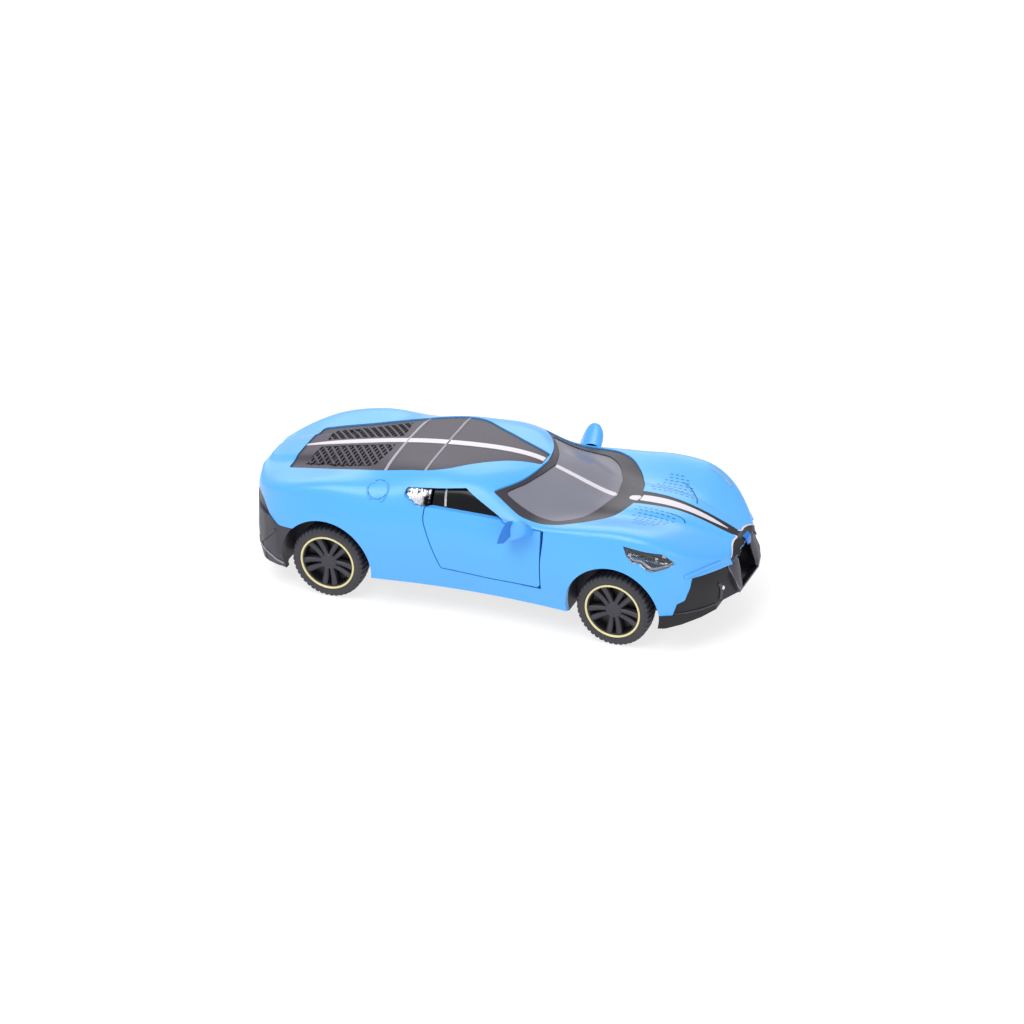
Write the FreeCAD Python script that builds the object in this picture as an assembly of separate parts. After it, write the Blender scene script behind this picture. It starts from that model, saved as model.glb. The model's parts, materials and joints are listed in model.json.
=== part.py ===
import FreeCAD, Part
import os
import math

# A pull-back toy car: die-cast body on a plastic chassis, opening doors, steel axles and a
# clockwork motor on the rear axle.
#
# Millimetres. +X is the nose, +Y the car's left side, +Z up, and Z = 0 is the floor under the
# tyres. The guides below count X from the middle of the wheelbase; save() moves every piece by
# BOX_SHIFT, so that the origin lies under the centre of the car's bounding box.

V = FreeCAD.Vector
UP = V(0, 0, 1)
ACROSS = V(0, 1, 0)
ALONG = V(1, 0, 0)

# ---------------------------------------------------------------- driving dimensions
WHEELBASE = 80.0
REAR_X = -WHEELBASE / 2
FRONT_X = WHEELBASE / 2
TAIL_X = -65.0
NOSE_X = 68.0
REARMOST_X = -65.5
FOREMOST_X = 68.3
BOX_SHIFT = -(REARMOST_X + FOREMOST_X) / 2

TYRE_R = 10.1
TYRE_WIDTH = 8.0
RIM_R = 7.4
WHEEL_FACE_Y = 25.4
AXLE_Z = TYRE_R
AXLE_R = 1.0
AXLE_FIT = 0.05

SILL_Z = 8.0
WALL = 1.8
RECESS = 1.0
PANEL_SINK = 0.35
PANEL_BASE = RECESS - 0.05
DOOR_WALL = 1.3
GAP = 0.3
SEAM = 0.3
ARCH_R = 12.7
ARCH_Z = 10.4
FAIRING = 6.0
BUMPER_WALL = 2.4
RIDGE_Z = 10.7
SKIRT_Z = 6.2
PIPE_Z = 10.4

HINGE_X = 17.8
HINGE_Y = 24.0
PIN_R = 0.45
PIN_FIT = 0.05
PIN_Z = (15.6, 25.0)
LUG_Z = (18.9, 21.7)
KNUCKLE_R = 1.1
LUG_R = 0.95
HINGE_GAP = 0.3

FLOOR_Z = 6.9
FLOOR_TOP = 8.6
WELL_R = 13.3
WELL_WALL = 1.0
WELL_Y = 15.9
SCREW_R = 0.95
POST_R = 2.4
POSTS_X = (-53.0, 53.0)

GEAR_MODULE = 0.5
GEAR_ADDENDUM = 0.8 * GEAR_MODULE
GEAR_DEDENDUM = 1.25 * GEAR_MODULE
GEAR_BACKLASH = 0.14
PRESSURE_ANGLE = math.radians(20)
AXLE_TEETH = 12
IDLER_TEETH = 24
PINION_TEETH = 12
BARREL_TEETH = 28
AXLE_TO_IDLER = math.radians(30)
IDLER_TO_BARREL = math.radians(-4.5)
SHAFT_R = 1.0
MOTOR_X = (-45.2, -13.6)
MOTOR_Z = (5.2, 22.4)
MOTOR_HALF = 8.0
MOTOR_WALL = 1.0

# ---------------------------------------------------------------- lines of the body
# Each guide runs from the tail to the nose as (X, value). A cross-section has eight points on
# a side: the centre line, a point between, the edge of the flat roof, the crest of the wing,
# the shoulder, the widest line, a point between, and the sill.
CENTRE_Z = [(-65, 27.2), (-62.5, 27.9), (-55.8, 30.1), (-41, 33.6), (-26.3, 36.4), (-14.9, 37.8),
            (0, 38.6), (8, 38.2), (14, 36.6), (20, 34.4), (26, 32.1), (32, 30.1), (37, 30.2),
            (43, 30.4), (49, 29.9), (56.4, 27.9), (62.6, 25.4), (66, 24.1), (68, 23.4)]
FLAT_Y = [(-65, 5.0), (-62.5, 10.0), (-55.8, 11.7), (-26, 15.2), (-14.5, 15.7), (0, 15.5),
          (8, 14.8), (14, 15.5), (20, 17.2), (26, 15.5), (32, 14.5), (40, 13), (50, 11.5),
          (58, 9), (63, 6.5), (68, 3.2)]
FLAT_Z = [(-65, 26.9), (-62.5, 27.3), (-55.8, 29.0), (-41, 32.0), (-26.3, 35.1), (-14.9, 37.2),
          (0, 37.6), (6, 36.9), (10, 34.9), (14, 32.6), (20, 30.8), (26, 30.3), (32, 30.2),
          (40, 30.4), (50, 29.6), (58, 27.1), (63, 24.8), (68, 23.0)]
CREST_Y = [(-65, 8.0), (-63.8, 11.3), (-62.5, 14.8), (-57, 18.8), (-50, 19.8), (-40, 19.6),
           (-28, 19.0), (-14, 18.6), (0, 18.8), (8, 19.2), (14, 20.4), (20, 21.8), (26, 21.2),
           (32, 20.3), (40, 20.0), (50, 19.4), (56, 17.5), (60, 15.0), (64, 10.8), (68, 5.0)]
CREST_Z = [(-65, 26.8), (-62.5, 27.1), (-57, 28.8), (-50, 30.5), (-40, 32.6), (-28, 33.6),
           (-14, 35.9), (0, 36.4), (6, 34.6), (10, 32.6), (14, 31.0), (20, 30.4), (26, 30.8),
           (32, 31.3), (40, 32.0), (50, 31.1), (56, 28.7), (60, 26.4), (64, 24.2), (68, 22.4)]
SHOULDER_Y = [(-65, 10.5), (-62.5, 16.9), (-57, 22.4), (-50, 24.4), (-40, 24.6), (-28, 23.7),
              (-14, 23.0), (0, 22.9), (10, 23.4), (20, 24.4), (32, 24.8), (40, 25.0),
              (50, 24.3), (56, 22.1), (60, 18.8), (64, 13.6), (68, 6.2)]
SHOULDER_Z = [(-65, 23.0), (-57, 25.9), (-50, 28.0), (-40, 29.6), (-28, 30.0), (-14, 30.4),
              (0, 30.0), (10, 28.8), (20, 28.0), (32, 28.5), (40, 28.6), (50, 27.6), (56, 25.6),
              (60, 23.9), (64, 22.1), (68, 20.6)]
WIDEST_Y = [(-65, 11.5), (-62.5, 18.0), (-60.5, 20.8), (-57, 23.8), (-50, 26.5), (-40, 27.3),
            (-28, 26.6), (-14, 25.6), (0, 25.3), (10, 25.4), (20, 25.9), (32, 26.8), (40, 27.1),
            (50, 26.3), (56, 24.2), (60, 21.2), (64, 15.8), (68, 7.2)]
WIDEST_Z = [(-65, 17), (-40, 19), (0, 19.5), (40, 19), (68, 16)]
SILL_Y = [(-65, 11.0), (-62.5, 17.2), (-60.5, 19.8), (-57, 22.8), (-50, 25.5), (-40, 26.5),
          (-28, 25.6), (-14, 24.2), (0, 23.7), (10, 24.0), (20, 24.8), (32, 26.0), (40, 26.4),
          (50, 25.6), (56, 23.6), (60, 20.6), (64, 15.2), (68, 7.0)]
STATIONS = [-58, -54.5, -50, -45, -40, -34, -28, -21, -14, -7, 0, 5, 10, 15, 20, 26, 32, 38, 44,
            50, 54, 58, 61, 63.5]


# ---------------------------------------------------------------- curves and outlines
def end_slope(step, next_step, rise, next_rise):
    """Slope of a shape-keeping cubic at its first point."""
    slope = ((2 * step + next_step) * rise - step * next_rise) / (step + next_step)
    if slope * rise <= 0:
        return 0.0
    if rise * next_rise <= 0 and abs(slope) > 3 * abs(rise):
        return 3 * rise
    return slope


def shape_keeping(points):
    """A cubic curve through (x, value) points that never swings past them."""
    xs = [p[0] for p in points]
    ys = [p[1] for p in points]
    last = len(points) - 1
    steps = [xs[i + 1] - xs[i] for i in range(last)]
    rises = [(ys[i + 1] - ys[i]) / steps[i] for i in range(last)]
    slopes = [end_slope(steps[0], steps[1], rises[0], rises[1])]
    for i in range(1, last):
        if rises[i - 1] * rises[i] <= 0:
            slopes.append(0.0)
            continue
        before = 2 * steps[i] + steps[i - 1]
        after = steps[i] + 2 * steps[i - 1]
        slopes.append((before + after) / (before / rises[i - 1] + after / rises[i]))
    slopes.append(end_slope(steps[-1], steps[-2], rises[-1], rises[-2]))

    def at(x):
        if x < xs[0]:
            return ys[0] + (x - xs[0]) * slopes[0]
        if x > xs[last]:
            return ys[last] + (x - xs[last]) * slopes[last]
        i = 0
        while i < last - 1 and x > xs[i + 1]:
            i += 1
        t = (x - xs[i]) / steps[i]
        blend = t * t * (3 - 2 * t)
        start = t * (1 - t) * (1 - t) * steps[i] * slopes[i]
        end = t * t * (t - 1) * steps[i] * slopes[i + 1]
        return ys[i] + blend * (ys[i + 1] - ys[i]) + start + end

    return at


def guide(points):
    """The curve through the points, faired by a weighted mean over FAIRING on each side."""
    curve = shape_keeping(points)
    weights = [1, 6, 15, 20, 15, 6, 1]

    def at(x):
        room = min(FAIRING, max(x - TAIL_X, 0.0), max(NOSE_X - x, 0.0))
        samples = [curve(x + room * (i - 3) / 3) for i in range(7)]
        return sum(w * v for w, v in zip(weights, samples)) / sum(weights)

    return at


centre_z = guide(CENTRE_Z)
flat_y = guide(FLAT_Y)
flat_z = guide(FLAT_Z)
crest_y = guide(CREST_Y)
crest_z = guide(CREST_Z)
shoulder_y = guide(SHOULDER_Y)
shoulder_z = guide(SHOULDER_Z)
widest_y = guide(WIDEST_Y)
widest_z = guide(WIDEST_Z)
sill_y = guide(SILL_Y)


def half_section(x):
    """The eight (y, z) points of the left side at station x, from the centre line to the sill."""
    between_z = centre_z(x) - 0.22 * (centre_z(x) - flat_z(x))
    lower_y = (widest_y(x) + sill_y(x)) / 2 + 0.25
    lower_z = (widest_z(x) + SILL_Z) / 2 - 0.5
    return [(0.0, centre_z(x)), (0.52 * flat_y(x), between_z), (flat_y(x), flat_z(x)),
            (crest_y(x), crest_z(x)), (shoulder_y(x), shoulder_z(x)), (widest_y(x), widest_z(x)),
            (lower_y, lower_z), (sill_y(x), SILL_Z)]


def inset_section(x, inset):
    """half_section moved inward by inset, measured square to the skin."""
    points = half_section(x)
    if inset == 0:
        return points
    behind = half_section(max(x - 0.2, TAIL_X))
    ahead = half_section(min(x + 0.2, NOSE_X))
    run = min(x + 0.2, NOSE_X) - max(x - 0.2, TAIL_X)
    moved = []
    for i, (y, z) in enumerate(points):
        before = (-points[1][0], points[1][1]) if i == 0 else points[i - 1]
        after = points[i + 1] if i < len(points) - 1 else (y, z - 1)
        if i == len(points) - 1:
            before = (y, z + 1)
        ty = after[0] - before[0]
        tz = after[1] - before[1]
        length = math.hypot(ty, tz)
        ny = tz / length
        nz = -ty / length
        slope = ((ahead[i][0] - behind[i][0]) * ny + (ahead[i][1] - behind[i][1]) * nz) / run
        stretch = min(math.sqrt(1 + slope * slope), 2.4)
        moved.append((y + ny * inset * stretch, z + nz * inset * stretch))
    moved[0] = (0.0, moved[0][1])
    moved[-1] = (moved[-1][0], SILL_Z - 2.0)
    return moved


def section_wire(x, inset):
    half = inset_section(x, inset)
    points = [V(x, -y, z) for y, z in reversed(half)] + [V(x, y, z) for y, z in half[1:]]
    middle = half_section(0.0)
    steps = [math.dist(middle[i], middle[i + 1]) for i in range(len(middle) - 1)]
    steps = steps[::-1] + steps
    params = [0.0]
    for step in steps:
        params.append(params[-1] + step / sum(steps))
    params[-1] = 1.0
    curve = Part.BSplineCurve()
    curve.interpolate(Points=points, Parameters=params)
    return Part.Wire([curve.toShape(), Part.makeLine(points[-1], points[0])])


skins = {}


def skin(inset):
    """The solid inside the body's outer surface, drawn in by inset."""
    if inset not in skins:
        first = TAIL_X + inset
        last = NOSE_X - inset
        stations = [first, first + 1.5, first + 3.2] + STATIONS + [last - 2, last]
        stations = sorted(set(x for x in stations if first <= x <= last))
        wires = [section_wire(x, inset) for x in stations]
        skins[inset] = Part.makeLoft(wires, True, False)
    return skins[inset]


layers = {}


def layer(outer, inner):
    """The part of the skin between two insets."""
    if (outer, inner) not in layers:
        layers[(outer, inner)] = skin(outer).cut(skin(inner))
    return layers[(outer, inner)]


def outline(points, place):
    """A closed wire through (a, b) or (a, b, corner radius) points, put in space by place.

    A corner's arc takes at most half of the shorter edge beside it.
    """
    corners = []
    count = len(points)
    for i in range(count):
        here = V(points[i][0], points[i][1], 0)
        before = V(points[i - 1][0], points[i - 1][1], 0)
        after = V(points[(i + 1) % count][0], points[(i + 1) % count][1], 0)
        radius = points[i][2] if len(points[i]) > 2 else 0
        if radius == 0:
            corners.append((here, here, here))
            continue
        to_before = V(before - here).normalize()
        to_after = V(after - here).normalize()
        half = to_before.getAngle(to_after) / 2
        shorter = min((before - here).Length, (after - here).Length)
        reach = min(radius / math.tan(half), 0.49 * shorter)
        radius = reach * math.tan(half)
        middle = (to_before + to_after).normalize()
        inner = here + middle * (radius / math.sin(half) - radius)
        corners.append((here + to_before * reach, inner, here + to_after * reach))
    edges = []
    for i in range(count):
        start, middle, end = [place(p.x, p.y) for p in corners[i]]
        if (end - start).Length > 1e-6:
            edges.append(Part.Arc(start, middle, end).toShape())
        following = corners[(i + 1) % count][0]
        following = place(following.x, following.y)
        if (following - end).Length > 1e-6:
            edges.append(Part.makeLine(end, following))
    return Part.Wire(edges)


def plan(points, low=0.0, high=60.0):
    """A prism on an (x, y) outline, from z = low to z = high."""
    wire = outline(points, lambda a, b: V(a, b, low))
    return Part.Face(wire).extrude(UP * (high - low))


def side(points, near, far):
    """A prism on an (x, z) outline, from y = near to y = far."""
    wire = outline(points, lambda a, b: V(a, near, b))
    return Part.Face(wire).extrude(ACROSS * (far - near))


def front(points, back, forward):
    """A prism on a (y, z) outline, from x = back to x = forward."""
    wire = outline(points, lambda a, b: V(back, a, b))
    return Part.Face(wire).extrude(ALONG * (forward - back))


def both_halves(points):
    """A closed symmetric outline from the half with the second value positive."""
    mirrored = [(p[0], -p[1]) + tuple(p[2:]) for p in reversed(points) if p[1] != 0]
    return list(points) + mirrored


def both_sides(points):
    """A closed symmetric outline from the half with the first value positive."""
    mirrored = [(-p[0],) + tuple(p[1:]) for p in reversed(points) if p[0] != 0]
    return list(points) + mirrored


def mirrored(shape):
    """The same piece on the other side of the car."""
    return shape.mirror(V(0, 0, 0), ACROSS)


def box(x, y, z):
    """A block between (low, high) pairs."""
    return Part.makeBox(x[1] - x[0], y[1] - y[0], z[1] - z[0], V(x[0], y[0], z[0]))


def rod(radius, start, end):
    """A round bar between two points."""
    return Part.makeCylinder(radius, (end - start).Length, start, end - start)


def ring(outer, inner, start, end):
    return rod(outer, start, end).cut(rod(inner, start, end))


def ruled(sections):
    """A faceted solid through closed polygons with the same number of corners."""
    wires = [Part.makePolygon(list(points) + [points[0]]) for points in sections]
    return Part.makeLoft(wires, True, True)


def join(shapes):
    shapes = list(shapes)
    whole = shapes[0]
    for shape in shapes[1:]:
        whole = whole.fuse(shape)
    return whole.removeSplitter()


def largest(shape):
    """The biggest solid of a shape, without crumbs that a cut leaves."""
    return max(shape.Solids, key=lambda solid: solid.Volume)


# ---------------------------------------------------------------- outlines on the body
def offset(points, distance):
    """An outline grown by distance (shrunk if negative), for mostly convex outlines."""
    wire = outline(points, lambda a, b: V(a, b, 0))
    return wire.makeOffset2D(distance, 2, False, False)


def grown_plan(points, distance, low=0.0, high=60.0):
    wire = offset(points, distance)
    wire.translate(V(0, 0, low))
    return Part.Face(wire).extrude(UP * (high - low))


def grown_side(points, distance, near, far):
    wire = offset(points, distance)
    wire.rotate(V(0, 0, 0), ALONG, 90)
    wire.translate(V(0, near, 0))
    return Part.Face(wire).extrude(ACROSS * (far - near))


ROOF_HALF = [(-55.9, 0), (-55.9, 11.8, 1.2), (-50.5, 12.6, 8), (-26.4, 15.6, 60), (-14.8, 15.9, 12),
             (-9.8, 14.6, 14), (-3.5, 10.2, 40), (5.0, 5.5, 30), (12.4, 3.0, 0.8), (12.4, 0)]
FRAME_HALF = [(13.2, 0), (12.4, 6.2, 30), (9.6, 12.6, 25), (4.9, 18.1, 0.5), (9.2, 19.4, 12),
              (13.6, 21.0, 14), (19.6, 22.0, 12), (24.4, 21.5, 8), (29.6, 18.6, 16),
              (34.2, 13.0, 20), (37.4, 6.5, 12), (38.6, 0)]
GLASS_HALF = [(15.0, 0), (14.0, 5.5, 30), (11.4, 11.0, 25), (7.6, 16.6, 0.8), (12.4, 17.7, 20),
              (18.6, 19.0, 14), (22.8, 19.0, 5), (27.4, 15.4, 18), (30.8, 8.0, 16), (32.2, 0)]
HOOD_STRIPE_HALF = [(37.4, 0), (37.4, 3.5), (45.0, 3.0, 60), (52.0, 2.25, 60), (62.5, 1.85, 20),
                    (66.2, 1.3), (66.2, 0)]
DOOR_OUTLINE = [(20.35, 29.45), (20.35, 13.6, 1.3), (5.8, 13.45, 60), (-7.7, 14.3, 0.8),
                (-10.4, 21.0, 30), (-12.75, 27.3, 6), (-12.5, 30.3), (-10.6, 30.6), (8.6, 30.2),
                (9.7, 29.45)]
WINDOW_OUTLINE = [(-12.6, 30.1, 0.4), (-15.2, 30.1, 2.0), (-18.9, 32.3, 1.2), (-18.2, 34.0, 0.9),
                  (-9.3, 34.9, 30), (-2.0, 35.9, 0.5), (9.4, 30.2), (0.0, 30.2)]
GLASS_OUTLINE = [(-10.9, 27.2, 0.6), (-10.9, 34.25, 0.6), (-2.1, 35.25, 0.5), (8.0, 29.95),
                 (6.0, 27.2, 0.6)]
TRIM_OUTLINE = [(-11.7, 30.3), (-15.1, 30.3, 2.0), (-18.7, 32.4, 1.2), (-18.1, 33.85, 0.9),
                (-11.7, 34.45)]
LAMP_OUTLINE = [(43.2, 29.4), (49.5, 28.4, 12), (53.4, 27.9, 2), (56.3, 25.1, 0.4), (54.3, 24.0, 4),
                (51.0, 23.2, 1), (49.2, 23.7, 1), (47.6, 25.1, 0.8), (45.6, 25.3, 0.8), (44.1, 27.0, 2)]
FRONT_REGION = [(53.6, 5.0), (55.4, 9.0, 0.8), (57.1, 14.2, 0.5), (58.8, 14.9, 0.5), (59.8, 18.0),
                (60.0, 20.4), (66.0, 20.2, 3), (71.0, 18.9), (71.0, 5.0)]
REAR_REGION = [(-67.0, 24.8), (-62.4, 24.8, 1), (-59.4, 23.0, 4), (-56.8, 20.6, 1), (-53.7, 19.0, 3),
               (-49.2, 19.3), (-46.0, 19.3), (-46.0, SKIRT_Z), (-67.0, SKIRT_Z)]
GRILLE_HALF = [(0, 23.0), (4.4, 22.9, 4), (8.9, 20.6, 3.2), (8.6, 15.6, 12), (6.6, 11.8, 1.0),
               (0, 11.8)]


# ---------------------------------------------------------------- body shell
def arch(x, radius, inner=WELL_Y):
    """The round wheel opening on both sides."""
    left = rod(radius, V(x, inner, ARCH_Z), V(x, 32, ARCH_Z))
    return left.fuse(mirrored(left))


def door_openings():
    """What the right door, its window and its swing take out of the body."""
    door = grown_side(DOOR_OUTLINE, GAP / 2, -32, -16)
    shelf = box((8.0, 23.0), (-19.9, -10.0), (27.0, 30.0))
    window = side(WINDOW_OUTLINE, -32, -15.5)
    nose_r = math.hypot(20.2 - HINGE_X, 25.9 - HINGE_Y) + 0.15
    swing = rod(nose_r, V(HINGE_X, -HINGE_Y, 13.3), V(HINGE_X, -HINGE_Y, 29.5))
    return [door.cut(shelf), window, swing]


def hinge_column():
    """The post inside the right sill whose lug carries the door's pin."""
    foot = box((15.6, 20.0), (-23.6, -19.6), (SILL_Z + 0.7, 13.2))
    post = box((16.3, 19.3), (-21.2, -19.7), (SILL_Z + 0.7, LUG_Z[1]))
    arm = box((HINGE_X - 0.8, HINGE_X + 0.8), (-HINGE_Y, -20.0), LUG_Z)
    lug = rod(LUG_R, V(HINGE_X, -HINGE_Y, LUG_Z[0]), V(HINGE_X, -HINGE_Y, LUG_Z[1]))
    bore = rod(PIN_R, V(HINGE_X, -HINGE_Y, LUG_Z[0] - 1), V(HINGE_X, -HINGE_Y, LUG_Z[1] + 1))
    return join([foot, post, arm, lug]).cut(bore)


def screw_post(x):
    """A screw post under the roof or hood."""
    post = rod(POST_R, V(x, 0, FLOOR_TOP), V(x, 0, 36)).common(skin(1.2))
    pilot = rod(SCREW_R, V(x, 0, FLOOR_TOP - 1), V(x, 0, FLOOR_TOP + 7))
    return post.cut(pilot)


def fuel_flap():
    """The ring groove of a round flap on the right rear wing."""
    centre = V(-26.1, -21.5, 32.6)
    normal = V(0, -0.66, 0.75).normalize()
    return ring(2.9, 2.6, centre - normal * 1.0, centre + normal * 3.0)


def body_shell():
    shell = layer(0, WALL)
    shell = shell.cut(layer(0, RECESS).common(grown_plan(both_halves(ROOF_HALF), 0.08, 20)))
    shell = shell.cut(layer(0, RECESS).common(grown_plan(both_halves(FRAME_HALF), 0.08, 20)))
    shell = shell.cut(grown_plan(both_halves(GLASS_HALF), 0.05, 20))
    shell = shell.cut(layer(0, 0.55).common(plan(both_halves(HOOD_STRIPE_HALF), 15)))
    for opening in door_openings():
        shell = shell.cut(opening).cut(mirrored(opening))
    lamp = grown_side(LAMP_OUTLINE, 0.05, -32, -19)
    shell = shell.cut(lamp).cut(mirrored(lamp))
    shell = shell.cut(arch(REAR_X, ARCH_R)).cut(arch(FRONT_X, ARCH_R))
    shell = shell.cut(grown_side(FRONT_REGION, 0.08, -32, 32))
    shell = shell.cut(grown_side(REAR_REGION, 0.08, -32, 32))
    shell = shell.cut(front(both_sides(GRILLE_HALF), 62.0, 71.0))
    groove = fuel_flap().common(layer(0, 0.3))
    shell = shell.cut(groove).cut(mirrored(groove))
    column = hinge_column()
    posts = [screw_post(x) for x in POSTS_X]
    return join([largest(shell), column, mirrored(column)] + posts)


# ---------------------------------------------------------------- panels let into the body
def roof_panel(rear, ahead):
    """The stretch of the black roof between two stations."""
    span = box((rear, ahead), (-20, 20), (20, 45))
    panel = plan(both_halves(ROOF_HALF), 20).common(span)
    return layer(PANEL_SINK, PANEL_BASE).common(panel)


SEAM_A = -14.9
SEAM_B = -26.3
VENT_OUTLINE = [(-50.6, 2.0), (-51.7, 9.8, 1), (-30.4, 12.9, 1), (-29.0, 6.0, 2), (-29.0, 2.4)]


def engine_cover():
    cover = roof_panel(-58, SEAM_B - SEAM / 2)
    vent = plan(VENT_OUTLINE, 20)
    return cover.cut(vent).cut(mirrored(vent))


def engine_grille():
    """The left louvred insert of the engine cover."""
    place = grown_plan(VENT_OUTLINE, -0.05, 20)
    plate = layer(0.7, PANEL_BASE).common(place)
    bars = []
    for i in range(10):
        x = -51.6 + 2.2 * i
        bars.append(plan([(x, 2.0), (x + 0.7, 2.0), (x + 3.2, 12.6), (x + 2.5, 12.6)], 20))
    bars = layer(0.3, 0.75).common(place).common(Part.makeCompound(bars))
    return join([plate, bars])


def windscreen_frame():
    panel = plan(both_halves(FRAME_HALF), 20).cut(plan(both_halves(GLASS_HALF), 20))
    return layer(PANEL_SINK, PANEL_BASE).common(panel)


def windscreen():
    return layer(0.6, 1.7).common(grown_plan(both_halves(GLASS_HALF), -0.05, 20))


def hood_stripe():
    place = grown_plan(both_halves(HOOD_STRIPE_HALF), -0.06, 15)
    return layer(0.08, 0.5).common(place).cut(grown_plan(both_halves(FRAME_HALF), 0.1, 15))


# ---------------------------------------------------------------- ends of the car
def front_bumper():
    """The black lower nose, with the two winglets of the splitter."""
    under = side([(50.0, 4.0), (50.0, 7.4), (54.0, 7.6), (58.0, 8.3), (62.0, 9.0), (64.5, 9.5),
                  (64.5, 11.2), (72.0, 11.2), (72.0, 4.0)], -32, 32)
    region = side(FRONT_REGION, -32, 32).cut(under)
    bumper = layer(0.25, BUMPER_WALL).common(region)
    lip_low = [(51.8, 25.8), (54.6, 25.3), (58.2, 23.2), (62.2, 19.2), (64.7, 14.9), (63.2, 12.4),
               (58.0, 17.6), (52.0, 20.4)]
    lip_high = [(52.0, 25.4), (54.8, 24.8), (58.2, 22.4), (61.8, 18.4), (64.6, 13.9), (63.0, 12.0),
                (57.6, 17.0), (52.2, 20.0)]
    lip = ruled([[V(x, y, 7.0) for x, y in lip_low], [V(x, y, 11.0) for x, y in lip_high]])
    lip = lip.cut(under)
    lip = lip.cut(arch(FRONT_X, ARCH_R + 0.1))
    lip = lip.cut(arch(FRONT_X, WELL_R + WELL_WALL + 0.05).common(skin(BUMPER_WALL)))
    lip = lip.cut(skin(0).cut(grown_side(FRONT_REGION, 0.08, -32, 32)))
    rim = grown_front(GRILLE_HALF, 1.0, 63.5, FOREMOST_X).common(region)
    mouth = front(both_sides(GRILLE_HALF), 62.0, 71.0)
    whole = join([bumper, lip, mirrored(lip), rim.cut(mouth)])
    inside = skin(BUMPER_WALL).common(box((50, 72), (-32, 32), (9.4, 30)))
    return largest(whole.cut(mouth).cut(inside))


def front_grille():
    """The black cup behind the nose opening, with upright bars."""
    cup = grown_front(GRILLE_HALF, -0.06, 63.0, 71.0).common(skin(0.3))
    hollow = grown_front(GRILLE_HALF, -0.9, 64.2, 71.0)
    bars = [box((64.0, 65.0), (y - 0.25, y + 0.25), (12.2, 22.6)) for y in (-6, -4, -2, 0, 2, 4, 6)]
    inside = grown_front(GRILLE_HALF, -0.5, 63.5, 66.0)
    return join([cup.cut(hollow), Part.makeCompound(bars).common(inside)])


def grown_front(half, distance, back, forward):
    wire = offset(both_sides(half), distance)
    wire.rotate(V(0, 0, 0), V(1, 1, 1), 120)
    wire.translate(V(back, 0, 0))
    return Part.Face(wire).extrude(ALONG * (forward - back))


def rear_bumper():
    """The black faceted tail, its ridge running round the car at RIDGE_Z."""
    low = [(-49.8, 24.8), (-54.9, 23.9), (-58.2, 22.5), (-60.2, 20.6), (-62.8, 13.2)]
    ridge = [(-48.8, 26.3), (-54.5, 25.6), (-58.6, 23.3), (-61.3, 20.5), (REARMOST_X, 12.2)]
    high = [(-48.6, 26.4), (-54.5, 25.0), (-58.6, 22.5), (-61.2, 19.9), (-65.1, 11.7)]

    def ringed(points, z):
        return [V(x, y, z) for x, y in points] + [V(x, -y, z) for x, y in reversed(points)]

    lower = ruled([ringed(low, SKIRT_Z), ringed(ridge, RIDGE_Z)])
    upper = ruled([ringed(ridge, RIDGE_Z), ringed(high, 20.5)])
    panel = layer(0.2, BUMPER_WALL)
    region = side(REAR_REGION, -32, 32)
    whole = join([lower, upper, panel]).common(region)
    whole = whole.cut(skin(BUMPER_WALL)).cut(box((-62.0, -40), (-20.0, 20.0), (5, 12)))
    whole = whole.cut(arch(REAR_X, ARCH_R + 0.1, 0.0))
    whole = whole.cut(skin(BUMPER_WALL - 0.5).common(box((-62, -40), (-32, 32), (5, FLOOR_Z + 0.2))))
    lamp = layer(0, 1.0).common(box((-70, -60), (-14.6, 14.6), (20.6, 23.0)))
    pipes = [rod(2.1, V(-68, y, PIPE_Z), V(-61, y, PIPE_Z)) for y in (-3.0, 3.0)]
    return largest(whole.cut(lamp).cut(pipes[0]).cut(pipes[1]))


def tail_light_lens():
    return layer(0, 0.9).common(box((-70, -60), (-14.5, 14.5), (20.7, 22.9)))


def exhaust_tips():
    tips = []
    for y in (-3.0, 3.0):
        pipe = rod(2.0, V(REARMOST_X, y, PIPE_Z), V(-61.5, y, PIPE_Z))
        tips.append(pipe.cut(rod(1.5, V(REARMOST_X, y, PIPE_Z), V(-62.4, y, PIPE_Z))))
    return Part.makeCompound(tips)


def headlight_reflector():
    """The right lamp's bright pan with its two dark bars."""
    place = side(LAMP_OUTLINE, -32, -19)
    pan = layer(1.1, 1.75).common(place)
    bar = side([(44.6, 27.2), (53.6, 25.3), (53.4, 24.9), (44.4, 26.7)], -32, -19)
    return join([pan, layer(0.75, 1.2).common(bar).common(place)])


def headlight_lens():
    return layer(0.1, 0.65).common(side(LAMP_OUTLINE, -32, -19))


def quarter_trim():
    """The bright scoop in the rear of the right window opening."""
    pan = layer(0.9, 1.6).common(side(TRIM_OUTLINE, -32, -15.5))
    bars = []
    for i in range(4):
        x = -17.2 + 1.5 * i
        bars.append(side([(x, 30.0), (x + 0.5, 30.0), (x + 0.2, 35.0), (x - 0.3, 35.0)], -32, -15.5))
    ribs = layer(0.55, 1.0).common(side(TRIM_OUTLINE, -32, -15.5)).common(Part.makeCompound(bars))
    return join([pan, ribs])


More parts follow.
